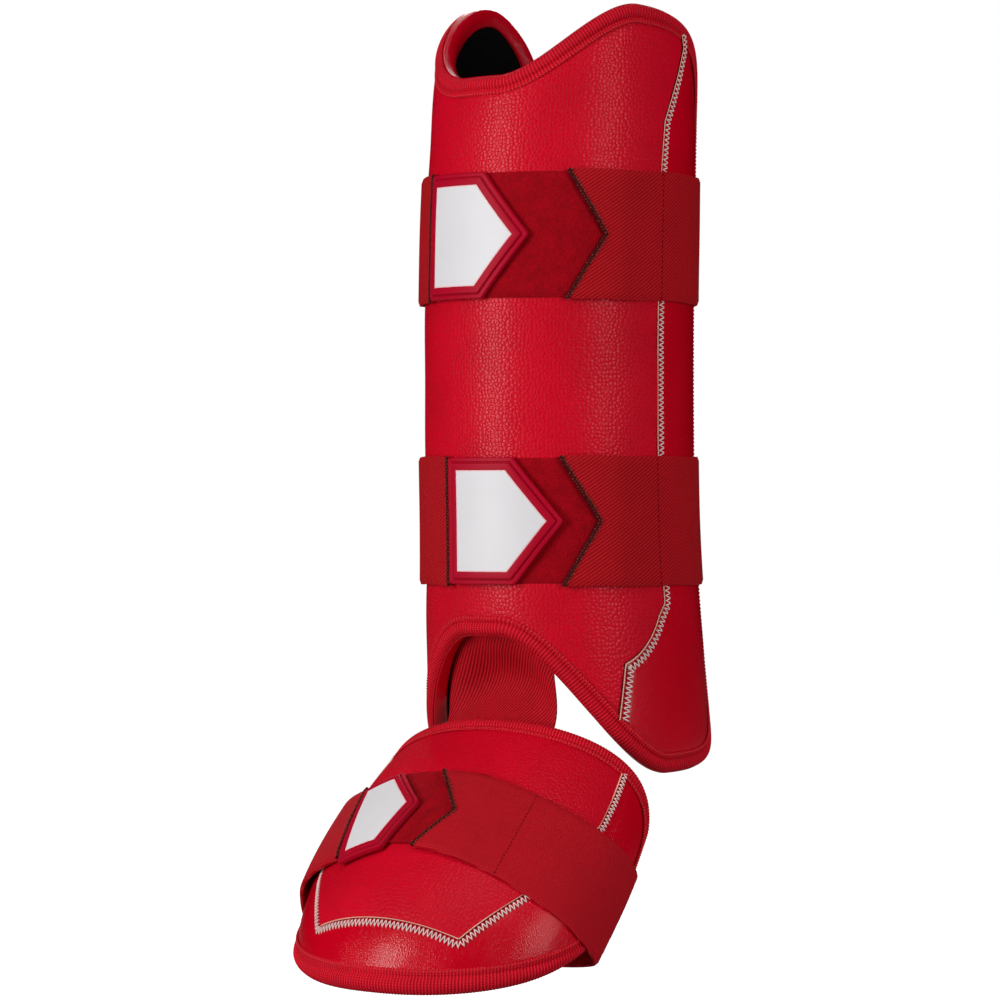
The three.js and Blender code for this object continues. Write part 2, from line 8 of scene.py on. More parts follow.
import bpy
import numpy as np
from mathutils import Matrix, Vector


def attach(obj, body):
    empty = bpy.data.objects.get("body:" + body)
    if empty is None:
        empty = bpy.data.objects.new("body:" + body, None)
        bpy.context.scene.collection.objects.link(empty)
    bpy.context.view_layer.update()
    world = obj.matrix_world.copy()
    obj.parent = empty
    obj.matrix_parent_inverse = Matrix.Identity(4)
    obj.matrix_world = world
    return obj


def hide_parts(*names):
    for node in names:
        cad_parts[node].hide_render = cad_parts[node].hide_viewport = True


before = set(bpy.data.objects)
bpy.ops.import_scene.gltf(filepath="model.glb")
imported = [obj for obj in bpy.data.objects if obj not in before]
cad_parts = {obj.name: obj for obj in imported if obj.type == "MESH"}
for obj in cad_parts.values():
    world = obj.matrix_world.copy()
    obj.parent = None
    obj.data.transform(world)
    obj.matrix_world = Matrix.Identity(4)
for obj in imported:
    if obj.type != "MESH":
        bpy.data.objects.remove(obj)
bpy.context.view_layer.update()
mm = 0.001

# %% [markdown]
# ## Surfaces as functions
# Each shell is one smooth surface, and everything on it, such as a strap or a stitch, keeps a small
# distance from it. So the surface is written once, as a function of two places on it and an offset
# outwards. A grid of places then gives a grid of points, with no modelling by hand.

# %% Steps and tables
def ramp(start, end, x):
    """Smooth step: 0 before the start, 1 after the end, and 3t^2 - 2t^3 between them."""
    t = np.clip((x - start) / (end - start), 0, 1)
    return t * t * (3 - 2 * t)


def mix(a, b, t):
    """a for t = 0, b for t = 1, and the straight line between them."""
    return a + (b - a) * t


# %% The shin shell's sizes
shin_half_width = 65 * mm
shin_half_depth = 65 * mm
shin_padding = 6.4 * mm
lining_gap = 0.8 * mm
lining_thickness = 1.5 * mm
wrap_angle = 137
front_top = 141 * mm
outer_top_rise = 35.5 * mm
inner_top_rise = 53 * mm
arch_height = -127 * mm
flap_drop = 66 * mm
shell_thickness = shin_padding + lining_gap + lining_thickness
shin_binding_radius = 3.4 * mm
seam_share = np.array([0, 0.095, 0.21, 0.42, 0.61, 0.8, 0.87, 0.94, 0.985, 1])
seam_angle = np.array([52.5, 57, 83.6, 82.9, 83.2, 84.2, 86.2, 95.4, 100, 98])


# %% The shin surface
def corner_fall(angle, power):
    """Height that a rounded rear corner takes off: half the height less a superellipse's quarter."""
    half = (front_top - arch_height + outer_top_rise + flap_drop) / 2
    share = np.minimum(1, np.abs(angle) / wrap_angle) * 0.995
    return half * (1 - (1 - share**power) ** (1 / power))


def shin_top(angle):
    """Height of the top edge: the front dip plus a rise on each side, less the rounded corner."""
    outer = outer_top_rise * ramp(5, 70, angle)
    inner = inner_top_rise * ramp(15, 110, -angle)
    return front_top + outer + inner - corner_fall(angle, 5)


def shin_bottom(angle):
    """Height of the bottom edge: the arch less a drop on each side, plus the rounded corner."""
    return arch_height - flap_drop * ramp(8, 80, np.abs(angle)) + corner_fall(angle, 8)


def shin_point(angle, height, offset):
    """A circle round the leg, bowed forwards in its middle, flared at the ankle and tapered on top."""
    grow = 4 * mm * ramp(-60 * mm, -200 * mm, height) - 1.5 * mm * ramp(60 * mm, 165 * mm, height) + offset
    middle = 7 * mm * (height / (165 * mm)) ** 2 - 3 * mm
    turn = np.radians(angle)
    x = (shin_half_width + grow) * np.sin(turn)
    y = middle - (shin_half_depth + grow) * np.cos(turn)
    return np.stack(np.broadcast_arrays(x, y, height), -1)


def shin_inward(edge, angle, sign):
    """Unit step into the shell, square to an edge curve, as degrees and metres of height."""
    arc = np.radians(shin_half_width)
    low = np.clip(angle - 0.25, -wrap_angle, wrap_angle)
    high = np.clip(angle + 0.25, -wrap_angle, wrap_angle)
    slope = (edge(high) - edge(low)) / ((high - low) * arc)
    length = np.hypot(1, slope)
    return sign * slope / length / arc, -sign / length


def shin_spot(c, s, inset, seam=None):
    """Angle and height for c from -1 to 1 across, with seams at -0.5 and 0.5, and s from 0 at the
    bottom edge to 1 at the top edge, moved in from the edge by the inset."""
    seam = np.interp(s, seam_share, seam_angle) if seam is None else seam
    outside = np.sin(np.clip(np.abs(c) * 2 - 1, 0, 1) * np.pi / 2)
    size = np.where(np.abs(c) <= 0.5, np.abs(c) * 2 * seam, mix(seam, wrap_angle, outside))
    angle = np.sign(c) * size
    height = mix(shin_bottom(angle), shin_top(angle), s)
    low = shin_inward(shin_bottom, angle, -1)
    high = shin_inward(shin_top, angle, 1)
    return angle + inset * mix(low[0], high[0], s), height + inset * mix(low[1], high[1], s)


# %% The foot plate's sizes
plate_length = 160 * mm
ankle_half_width = 72 * mm
toe_half_width = 64 * mm
foot_padding = 6 * mm
plate_wrap = 93
foot_seam_share = np.array([0, 0.3, 0.75, 1])
foot_seam = np.array([0.565, 0.61, 0.54, 0.42])
foot_front_row = 0.75


# %% The foot surface
def turn_about(points, axis, degrees):
    """Points turned about the X, Y or Z axis through the origin."""
    a, b = [(1, 2), (2, 0), (0, 1)][axis]
    cos, sin = np.cos(np.radians(degrees)), np.sin(np.radians(degrees))
    turned = points.copy()
    turned[..., a] = points[..., a] * cos - points[..., b] * sin
    turned[..., b] = points[..., a] * sin + points[..., b] * cos
    return turned


def dome_point(angle, length):
    """Half an ellipse across whose width and height change along, on a ridge that bends down to the
    toe. Past the sides it runs on as the flat loop that the strap takes under the sole."""
    share = length / plate_length
    half_width = mix(ankle_half_width, toe_half_width, share) + 50 * mm * share * (1 - share)
    rise = mix(38 * mm, 63 * mm, share)
    ridge = 4.5 * mm * share**2 - 29.5 * mm * np.abs(share) ** 5
    below = -np.cos(np.radians(angle))
    flattening = (rise - 9 * mm) * np.maximum(0, below - 0.06) / 0.94
    height = ridge - rise * (1 + below) + flattening
    return np.stack(np.broadcast_arrays(half_width * np.sin(np.radians(angle)), -length, height), -1)


def unit(vectors):
    """The vectors at length 1."""
    return vectors / np.maximum(np.linalg.norm(vectors, axis=-1, keepdims=True), 1e-12)


def foot_point(angle, length, offset):
    """The dome moved out along its normal, tilted down towards the toe and set under the arch."""
    angle, length, offset = np.broadcast_arrays(angle, length, offset)
    across = dome_point(angle + 0.5, length) - dome_point(angle - 0.5, length)
    down = dome_point(angle, length + 0.5 * mm) - dome_point(angle, length - 0.5 * mm)
    points = dome_point(angle, length) + unit(np.cross(down, across)) * offset[..., None]
    points = turn_about(turn_about(turn_about(points, 1, 1.5), 0, 39.5), 2, 3)
    return points + np.array([4.5, -54.5, -166]) * mm


def ankle_edge(a):
    """Share along, from -1, of the plate's edge at the ankle: a superellipse."""
    return -((1 - np.abs(a) ** 3.5) ** (1 / 3.5))


def toe_edge(a):
    """Share along, up to 1, of the plate's edge at the toe: nearly a circle."""
    return (1 - np.abs(a) ** 2.1) ** (1 / 2.1)


def dome_spot(a, b):
    """Angle and length for the shares across and along."""
    return plate_wrap * a * (1 - 0.2 * b), plate_length * (b + 1) / 2


def plate_inward(edge, a, sign):
    """Unit step into the plate, square to one of its edges, as degrees and metres."""
    arc = np.radians(ankle_half_width)
    low, high = np.clip(a - 0.004, -0.985, 0.985), np.clip(a + 0.004, -0.985, 0.985)
    start, end = dome_spot(low, edge(low)), dome_spot(high, edge(high))
    run, climb = (end[0] - start[0]) * arc, end[1] - start[1]
    size = np.hypot(run, climb)
    return sign * -climb / size / arc, sign * run / size


def foot_spot(c, s, inset):
    """Angle and length for c across, with seams at -0.5 and 0.5, and s from the ankle edge to the
    toe, with the toe seam at foot_front_row, moved in from the edge by the inset."""
    seam = np.interp(s / foot_front_row, foot_seam_share, foot_seam)
    outside = np.sin(np.clip(np.abs(c) * 2 - 1, 0, 1) * np.pi / 2)
    a = np.sign(c) * np.where(np.abs(c) <= 0.5, np.abs(c) * 2 * seam, mix(seam, 0.985, outside))
    low, high = ankle_edge(a), toe_edge(a)
    front = np.minimum(0.67, mix(low, high, 0.88))
    before = mix(low, front, s / foot_front_row)
    after = mix(front, high, (s - foot_front_row) / (1 - foot_front_row))
    angle, length = dome_spot(a, np.where(s <= foot_front_row, before, after))
    ankle_way, toe_way = plate_inward(ankle_edge, a, 1), plate_inward(toe_edge, a, -1)
    turned, moved = (mix(ankle_way[k], toe_way[k], s) for k in (0, 1))
    return angle + inset * turned, length + inset * moved


# %% Flat places on the two surfaces
def shin_flat(angle, height):
    """An angle and a height as a place on the unrolled shin: metres round and metres up."""
    return np.stack([np.radians(angle) * shin_half_width, height], -1)


def foot_flat(angle, length):
    """An angle and a length as a place on the unrolled foot plate: metres across and along."""
    return np.stack([np.radians(angle) * ankle_half_width, length], -1)


def on_shin(flat, offset):
    """A place on the unrolled shin, metres round and metres up, as a point in space."""
    return shin_point(np.degrees(flat[..., 0] / shin_half_width), flat[..., 1], offset)


def on_foot(flat, offset):
    """A place on the unrolled foot plate, metres across and metres along, as a point in space."""
    return foot_point(np.degrees(flat[..., 0] / ankle_half_width), flat[..., 1], offset)


shin, foot = (shin_point, shin_flat), (foot_point, foot_flat)


# %% [markdown]
# ## Turning grids into meshes
# A padded panel is a slab: a grid of points for its face, the same grid lower for its back, and a
# wall round the border. A rolled tape or a thread is a tube: the same ring of points carried along
# a path. Both need only the list of faces, which follows from the grid by counting.

# %% Grids and their faces
def grid(first_row, last_row, rows, first_column, last_column, columns):
    """Two arrays of places: one grows evenly from row to row, the other from column to column."""
    down, over = np.linspace(first_row, last_row, rows), np.linspace(first_column, last_column, columns)
    return np.meshgrid(down, over, indexing="ij")


def grid_faces(rows, columns, wrap_rows=False, wrap_columns=False):
    """Four corners of every cell of a grid of points, wrapped round where it closes on itself."""
    i, j = np.meshgrid(np.arange(rows - 1 + wrap_rows), np.arange(columns - 1 + wrap_columns), indexing="ij")
    next_i, next_j = (i + 1) % rows, (j + 1) % columns
    corners = [i * columns + j, next_i * columns + j, next_i * columns + next_j, i * columns + next_j]
    return np.stack(corners, -1).reshape(-1, 4)


# %% Meshes
def outward(points, faces):
    """The faces turned round if the closed mesh's volume comes out negative."""
    a, b, c, d = (points[faces[:, k]] for k in range(4))
    volume = np.einsum("ij,ij->", a, np.cross(b, c)) + np.einsum("ij,ij->", a, np.cross(c, d))
    return faces if volume > 0 else faces[:, ::-1]


def make_mesh(name, points, faces, flat, material, smooth=50):
    """A mesh object of four-sided faces, with its flat places as the UV map 'flat', in metres."""
    points = points.reshape(-1, 3)
    faces = outward(points, faces)
    used, index = np.unique(faces, return_inverse=True)
    faces = index.reshape(faces.shape)
    mesh = bpy.data.meshes.new(name)
    mesh.vertices.add(len(used))
    mesh.vertices.foreach_set("co", points[used].ravel())
    mesh.loops.add(faces.size)
    mesh.loops.foreach_set("vertex_index", faces.ravel())
    mesh.polygons.add(len(faces))
    mesh.polygons.foreach_set("loop_start", np.arange(len(faces)) * 4)
    mesh.polygons.foreach_set("use_smooth", np.ones(len(faces), bool))
    mesh.update(calc_edges=True)
    layer = mesh.uv_layers.new(name="flat")
    layer.data.foreach_set("uv", flat.reshape(-1, 2)[used][faces.ravel()].ravel())
    mesh.set_sharp_from_angle(angle=np.radians(smooth))
    mesh.materials.append(material)
    made = bpy.data.objects.new(name, mesh)
    bpy.context.scene.collection.objects.link(made)
    return made


def slab(name, face, back, flat, material, cells=None, smooth=50):
    """A closed slab between two grids of points. cells says which cells are filled."""
    rows, columns = face.shape[:2]
    count = rows * columns
    top = grid_faces(rows, columns)
    top = top if cells is None else top[cells.ravel()]
    edges = np.concatenate([top[:, [k, (k + 1) % 4]] for k in range(4)])
    forward = edges[:, 0] * count + edges[:, 1]
    border = edges[~np.isin(forward, edges[:, 1] * count + edges[:, 0])]
    walls = np.stack([border[:, 1], border[:, 0], border[:, 0] + count, border[:, 1] + count], -1)
    points = np.concatenate([face.reshape(-1, 3), back.reshape(-1, 3)])
    faces = np.concatenate([top, top[:, ::-1] + count, walls])
    return make_mesh(name, points, faces, np.concatenate([flat.reshape(-1, 2)] * 2), material, smooth)


def laid(name, surface, spot, top, bottom, material, cells=None):
    """A slab on a shell's surface, between two offsets from it, with its flat places as UV map."""
    point, flat = surface
    return slab(name, point(*spot, top), point(*spot, bottom), flat(*spot), material, cells)


# %% Tubes
def loop_tube(name, rings, flat, material, smooth=50):
    """A closed tube from rings of points that run round a loop. The last ring joins the first."""
    rows, columns = rings.shape[:2]
    return make_mesh(name, rings, grid_faces(rows, columns, True, True), flat, material, smooth)


def rod(name, rings, flat, material, smooth=60):
    """A closed rod from rings of points along an open path. Its end rings shrink to a small cap."""
    first, last = rings[:1].mean(1, keepdims=True), rings[-1:].mean(1, keepdims=True)
    rings = np.concatenate([mix(first, rings[:1], 0.02), rings, mix(last, rings[-1:], 0.02)])
    flat = np.concatenate([flat[:1], flat, flat[-1:]])
    rows, columns = rings.shape[:2]
    sides = grid_faces(rows, columns, False, True)
    last = columns - 1
    caps = np.array([[k, k + 1, last - k - 1, last - k] for k in range(columns // 2 - 1)])
    faces = np.concatenate([sides, caps, caps[:, ::-1] + (rows - 1) * columns])
    return make_mesh(name, rings, faces, flat, material, smooth)


# %% [markdown]
# ## Paths, threads and stitches
# Seams, bindings and threads all follow a line on a surface. A line is kept as flat places, spread
# evenly along its length, so that ribs and stitches come out with an even pitch.

# %% Paths
def running(path):
    """Length along a path up to each of its points."""
    return np.concatenate([[0], np.cumsum(np.linalg.norm(np.diff(path, axis=0), axis=1))])


def evenly(path, step):
    """The path again with its points a step apart, measured along it."""
    length = running(path)
    at = np.linspace(0, length[-1], max(3, int(round(length[-1] / step)) + 1))
    return np.stack([np.interp(at, length, path[:, k]) for k in range(path.shape[1])], -1)


def beside(path, distance):
    """A flat path moved to its right by a distance, which may change along it."""
    way = unit(np.gradient(path, axis=0))
    right = np.stack([way[:, 1], -way[:, 0]], -1)
    return path + right * np.broadcast_to(distance, len(path))[:, None]


def zigzag(path, pitch, reach, wobble=0.1):
    """A path that swings from side to side of a flat path: a triangle wave of the reach. The wobble
    is the share by which single swings come out wider or narrower."""
    fine = evenly(path, pitch / 12)
    phase = running(fine) / pitch
    swing = 4 * np.abs(phase % 1 - 0.5) - 1
    uneven = 1 + wobble * np.sin(phase * 4.1) * np.cos(phase * 1.7)
    return beside(fine, reach * swing * uneven), np.abs(swing)


# %% Threads
def thread(name, place, flat, lift, radius, material, sides=8):
    """A round thread along flat places: rings in the plane of the surface normal and the side way."""
    middle = place(flat, lift)
    normal = unit(place(flat, lift + 0.2 * mm) - middle)
    way = unit(np.gradient(middle, axis=0))
    side = unit(np.cross(way, normal))
    turn = np.linspace(0, 2 * np.pi, sides, endpoint=False)[:, None]
    ring = np.cos(turn) * side[:, None] + np.sin(turn) * normal[:, None]
    rings = middle[:, None] + radius * ring
    along = np.broadcast_to(running(middle)[:, None], rings.shape[:2])
    around = np.broadcast_to(turn[:, 0] * radius, rings.shape[:2])
    return rod(name, rings, np.stack([along, around], -1), material)


# %% Stitches
def spindles(name, middle, normal, length, radius, material):
    """Short stitches at points of a line: each is a spindle of four rings with six sides."""
    way = unit(np.gradient(middle, axis=0))
    side = np.cross(way, normal)
    share = np.array([-0.5, -0.3, 0.3, 0.5])
    size = np.array([0.35, 1, 1, 0.35]) * radius
    dip = np.array([-0.9, 0, 0, -0.9]) * radius
    turn = np.linspace(0, 2 * np.pi, 6, endpoint=False)
    ring = np.cos(turn)[None, :, None] * side[:, None] + np.sin(turn)[None, :, None] * normal[:, None]
    along = way[:, None] * (share * length)[None, :, None] + normal[:, None] * dip[None, :, None]
    points = middle[:, None, None] + along[:, :, None] + ring[:, None] * size[None, :, None, None]
    shape = grid_faces(4, 6, False, True)
    caps = np.array([[0, 1, 4, 5], [1, 2, 3, 4]])
    shape = np.concatenate([shape, caps, caps[:, ::-1] + 18])
    faces = (shape[None] + 24 * np.arange(len(middle))[:, None, None]).reshape(-1, 4)
    flat = np.broadcast_to((share * length)[None, :, None, None], points.shape[:3] + (2,)).reshape(-1, 2)
    return make_mesh(name, points, faces, flat, material, 80)


def stitches(name, place, path, lift, length, radius, pitch, material):
    """A row of stitches along flat places on a surface."""
    fine = evenly(path, pitch)
    middle = place(fine, lift)
    return spindles(name, middle, unit(place(fine, lift + 0.2 * mm) - middle), length, radius, material)


# %% [markdown]
# ## Node groups
# Several finishes share an effect: grain, weave, ribs and an uneven tone. Each effect is one node
# group that puts out masks and heights, and each material feeds them to its own shader.

# %% Helpers for nodes
def node(tree, kind, values=None, **settings):
    """A node with its settings and inputs. An input given as a socket is linked."""
    made = tree.nodes.new(kind)
    for key, value in settings.items():
        setattr(made, key, value)
    for key, value in (values or {}).items():
        if isinstance(value, bpy.types.NodeSocket):
            tree.links.new(value, made.inputs[key])
        else:
            made.inputs[key].default_value = value
    return made


def maths(tree, operation, first, second=0.0, third=0.0):
    """The result of a Math node."""
    return node(tree, "ShaderNodeMath", {0: first, 1: second, 2: third}, operation=operation).outputs[0]


def smooth_mask(tree, value, low, high):
    """0 below the low value, 1 above the high one, and a smooth step between."""
    values = {"Value": value, "From Min": low, "From Max": high}
    return node(tree, "ShaderNodeMapRange", values, interpolation_type="SMOOTHSTEP").outputs[0]


def new_group(name, inputs, outputs):
    """An empty group with its sockets, and the nodes that stand for its inputs and outputs."""
    tree = bpy.data.node_groups.new(name, "ShaderNodeTree")
    kinds = {"vector": "NodeSocketVector", "number": "NodeSocketFloat"}
    for title, kind, value in inputs:
        socket = tree.interface.new_socket(name=title, in_out="INPUT", socket_type=kinds[kind])
        if value is not None:
            socket.default_value = value
    for title in outputs:
        tree.interface.new_socket(name=title, in_out="OUTPUT", socket_type="NodeSocketFloat")
    return tree, tree.nodes.new("NodeGroupInput").outputs, tree.nodes.new("NodeGroupOutput").inputs


# %% Pebbled grain
# Cells of a Voronoi pattern are the pebbles: low domes, with creases along the lines between them.
grain_tree, given, result = new_group(
    "pebbled_grain", [("Flat", "vector", None), ("Cell", "number", 0.0022)], ["Height", "Crease"])
shaky = node(grain_tree, "ShaderNodeTexNoise", {"Vector": given["Flat"], "Scale": 330.0, "Detail": 1.0})
shift = node(grain_tree, "ShaderNodeVectorMath", {0: shaky.outputs["Color"], 1: (0.0006, 0.0006, 0)},
             operation="MULTIPLY")
moved = node(grain_tree, "ShaderNodeVectorMath", {0: given["Flat"], 1: shift.outputs[0]}, operation="ADD")
per_metre = maths(grain_tree, "DIVIDE", 1.0, given["Cell"])
pattern = {"Vector": moved.outputs[0], "Scale": per_metre, "Randomness": 0.8}
cobbles = node(grain_tree, "ShaderNodeTexVoronoi", pattern, voronoi_dimensions="2D", feature="F1")
borders = node(grain_tree, "ShaderNodeTexVoronoi", pattern, voronoi_dimensions="2D",
               feature="DISTANCE_TO_EDGE")
dome = maths(grain_tree, "SUBTRACT", 1.0, smooth_mask(grain_tree, cobbles.outputs["Distance"], 0.0, 0.75))
crease = maths(grain_tree, "SUBTRACT", 1.0, smooth_mask(grain_tree, borders.outputs["Distance"], 0.01, 0.15))
lowered = maths(grain_tree, "MULTIPLY_ADD", crease, -0.6, dome)
fine = node(grain_tree, "ShaderNodeTexNoise", {"Vector": given["Flat"], "Scale": 2600.0, "Detail": 1.0})
grain_tree.links.new(maths(grain_tree, "MULTIPLY_ADD", fine.outputs["Fac"], 0.08, lowered), result["Height"])
grain_tree.links.new(crease, result["Crease"])

# %% Uneven tone
# Broad soft noise: no dyed or moulded surface is one even colour.
tone_tree, given, result = new_group(
    "uneven_tone", [("Vector", "vector", None), ("Scale", "number", 30.0)], ["Tone"])
values = {"Vector": given["Vector"], "Scale": given["Scale"], "Detail": 3.0}
broad = node(tone_tree, "ShaderNodeTexNoise", values)
tone_tree.links.new(smooth_mask(tone_tree, broad.outputs["Fac"], 0.3, 0.7), result["Tone"])

# %% Twill weave
# Slanted cords cut by fine cross threads. The flat UV map is in metres, so the pitch is too.
weave_tree, given, result = new_group(
    "twill_weave",
    [("Flat", "vector", None), ("Pitch", "number", 0.0015), ("Slant", "number", 35.0)], ["Height", "Shade"])
slant = maths(weave_tree, "RADIANS", given["Slant"])
sine, cosine = maths(weave_tree, "SINE", slant), maths(weave_tree, "COSINE", slant)
parts = node(weave_tree, "ShaderNodeSeparateXYZ", {0: given["Flat"]})
across = maths(weave_tree, "SUBTRACT", maths(weave_tree, "MULTIPLY", parts.outputs[1], cosine),
               maths(weave_tree, "MULTIPLY", parts.outputs[0], sine))
lengthwise = maths(weave_tree, "ADD", maths(weave_tree, "MULTIPLY", parts.outputs[0], cosine),
                   maths(weave_tree, "MULTIPLY", parts.outputs[1], sine))
turns = maths(weave_tree, "MULTIPLY", maths(weave_tree, "DIVIDE", across, given["Pitch"]), 2 * np.pi)
cord_height = maths(weave_tree, "MULTIPLY_ADD", maths(weave_tree, "SINE", turns), 0.5, 0.5)
threads = maths(weave_tree, "DIVIDE", lengthwise, given["Pitch"])
cross_turns = maths(weave_tree, "MULTIPLY", threads, 3.2 * np.pi)
cross_height = maths(weave_tree, "MULTIPLY_ADD", maths(weave_tree, "SINE", cross_turns), 0.5, 0.5)
cords = maths(weave_tree, "MULTIPLY", cord_height, 0.75)
height = maths(weave_tree, "MULTIPLY_ADD", cross_height, 0.25, cords)
weave_tree.links.new(height, result["Height"])
weave_tree.links.new(maths(weave_tree, "POWER", height, 0.7), result["Shade"])

# %% Fuzz
# Short brushed hairs: a fine noise for the hairs, on a broader one for the clumps they lie in.
fuzz_tree, given, result = new_group(
    "fuzz", [("Vector", "vector", None), ("Scale", "number", 1400.0)], ["Height"])
values = {"Vector": given["Vector"], "Scale": given["Scale"], "Detail": 4.0}
hair = node(fuzz_tree, "ShaderNodeTexNoise", values)
clump = node(fuzz_tree, "ShaderNodeTexNoise", {"Vector": given["Vector"], "Scale": 180.0, "Detail": 2.0})
fuzz_tree.links.new(
    maths(fuzz_tree, "MULTIPLY_ADD", clump.outputs["Fac"], 0.4, hair.outputs["Fac"]), result["Height"])


# %% [markdown]
# ## Finishes
# Every material starts from a place on the piece. Leather grain, weave and twist use the flat UV
# map, which follows the piece. Broad tones, pile and mould texture have no direction, so they use
# Object coordinates. Painted images would stop at one resolution; nodes measured in metres don't.

# %% Material helpers
def new_material(name, roughness):
    """A material with its tree, shader and both kinds of coordinates."""
    made = bpy.data.materials.new(name)
    made.use_nodes = True
    tree = made.node_tree
    shader = tree.nodes["Principled BSDF"]
    shader.inputs["Roughness"].default_value = roughness
    space = tree.nodes.new("ShaderNodeTexCoord").outputs["Object"]
    flat = node(tree, "ShaderNodeUVMap", uv_map="flat").outputs[0]
    return made, tree, shader, space, flat


def use_group(tree, group, values):
    """A group placed in a material, with its values. Gives the group's outputs."""
    return node(tree, "ShaderNodeGroup", values, node_tree=group).outputs


def blend_colours(tree, mask, first, second):
    """The first colour where the mask is 0 and the second where it is 1."""
    made = node(tree, "ShaderNodeMix", {0: mask, 6: first, 7: second}, data_type="RGBA")
    return made.outputs[2]


def relief(tree, shader, height, distance, strength=1.0):
    """A height in metres of relief, as a bump on the shader's normal."""
    made = node(tree, "ShaderNodeBump", {"Height": height, "Distance": distance, "Strength": strength})
    tree.links.new(made.outputs[0], shader.inputs["Normal"])


# %% Leather
def leather(name, colour, deep, roughness, gloss, cell, depth, crease_shade_share, crease_rough):
    """Coated leather: a grain of pebbles, creases darkened with painted shade, an uneven tone and a soft
    gloss.
    """
    made, tree, shader, space, flat = new_material(name, roughness)
    grain = use_group(tree, grain_tree, {"Flat": flat, "Cell": cell})
    tone = use_group(tree, tone_tree, {"Vector": space, "Scale": 26.0})
    plain = blend_colours(tree, tone["Tone"], colour, deep)
    # Painted shade: the creases are darkened towards a dark copy of the deep colour.
    crease_painted_shade = maths(tree, "MULTIPLY", grain["Crease"], crease_shade_share)
    dark = tuple(0.3 * part for part in deep[:3]) + (1,)
    tree.links.new(blend_colours(tree, crease_painted_shade, plain, dark), shader.inputs["Base Color"])
    rough = maths(tree, "MULTIPLY_ADD", grain["Crease"], crease_rough, roughness)
    tree.links.new(rough, shader.inputs["Roughness"])
    shader.inputs["Specular IOR Level"].default_value = gloss
    relief(tree, shader, grain["Height"], depth)
    return made


pebbled = leather(
    "pebbled_leather", (0.69, 0.0002, 0.017, 1), (0.60, 0.0002, 0.014, 1), 0.30, 0.17, 0.0019,
    0.00010, 0.2, 0.4)
smooth_leather = leather(
    "smooth_leather", (0.67, 0.0002, 0.014, 1), (0.60, 0.0002, 0.011, 1), 0.14, 0.27, 0.0010,
    0.00004, 0.4, 0.03)


# %% Woven and ribbed cloth
def woven(name, colour, shadow, pitch, slant, depth):
    """Elastic webbing: a twill whose grooves take a painted shadow colour and whose cords carry a painted
    highlight along their ridges.
    """
    made, tree, shader, space, flat = new_material(name, 0.72)
    weave = use_group(tree, weave_tree, {"Flat": flat, "Pitch": pitch, "Slant": slant})
    tone = use_group(tree, tone_tree, {"Vector": space, "Scale": 40.0})
    lit = blend_colours(tree, maths(tree, "MULTIPLY", tone["Tone"], 0.35), colour, shadow)
    # Painted shade: the weave's grooves take the shadow colour.
    body = blend_colours(tree, weave["Shade"], shadow, lit)
    # Painted highlight: the top of each cord is mixed towards a paler, pinker red.
    ridge = maths(tree, "MULTIPLY", smooth_mask(tree, weave["Height"], 0.72, 1.0), 0.8)
    pale = (min(1, 1.1 * colour[0]), colour[1] + 0.04, colour[2] + 0.035, 1)
    tree.links.new(blend_colours(tree, ridge, body, pale), shader.inputs["Base Color"])
    shader.inputs["Specular IOR Level"].default_value = 0.12
    relief(tree, shader, weave["Height"], depth)
    return made


webbing = woven("twill_webbing", (0.52, 0.0006, 0.008, 1), (0.32, 0.0002, 0.004, 1), 0.00145, 35.0, 0.00022)
fine_webbing = woven(
    "fine_webbing", (0.58, 0.0006, 0.012, 1), (0.34, 0.0003, 0.006, 1), 0.0009, 4.0, 0.00018)
tongue_cloth = woven(
    "tongue_elastic", (0.68, 0.0008, 0.014, 1), (0.24, 0.0002, 0.004, 1), 0.0015, -58.0, 0.0003)
tape = woven("binding_tape", (0.82, 0.0012, 0.022, 1), (0.34, 0.0002, 0.007, 1), 0.0016, 90.0, 0.0003)


# %% Brushed loop, lining, rubber and threads
def brushed(name, colour, shadow, sheen, depth):
    """Short pile: fine noise in height, with painted shade on the low hairs, which take the shadow colour,
    and sheen for the hairs that catch the light.
    """
    made, tree, shader, space, flat = new_material(name, 0.9)
    pile = use_group(tree, fuzz_tree, {"Vector": space, "Scale": 1300.0})
    # Painted shade: the low hairs take the shadow colour, the high ones the lit colour.
    raised = smooth_mask(tree, pile["Height"], 0.45, 0.95)
    tree.links.new(blend_colours(tree, raised, shadow, colour), shader.inputs["Base Color"])
    shader.inputs["Specular IOR Level"].default_value = 0.1
    shader.inputs["Sheen Weight"].default_value = sheen
    shader.inputs["Sheen Roughness"].default_value = 0.5
    shader.inputs["Sheen Tint"].default_value = (0.8, 0.1, 0.1, 1)
    relief(tree, shader, pile["Height"], depth)
    return made


loop_pile = brushed("brushed_loop", (0.42, 0.0003, 0.008, 1), (0.24, 0.0002, 0.004, 1), 0.03, 0.0004)
lining_knit = brushed("lining_knit", (0.004, 0.003, 0.003, 1), (0.001, 0.001, 0.001, 1), 0.0, 0.0002)


def moulded(name, colour, deep, roughness, gloss, depth):
    """Moulded rubber: nearly even, with a fine satin texture from the mould."""
    made, tree, shader, space, flat = new_material(name, roughness)
    tone = use_group(tree, tone_tree, {"Vector": space, "Scale": 60.0})
    texture = use_group(tree, fuzz_tree, {"Vector": space, "Scale": 2200.0})
    uneven = maths(tree, "MULTIPLY", tone["Tone"], 0.5)
    tree.links.new(blend_colours(tree, uneven, colour, deep), shader.inputs["Base Color"])
    shader.inputs["Specular IOR Level"].default_value = gloss
    relief(tree, shader, texture["Height"], depth)
    return made


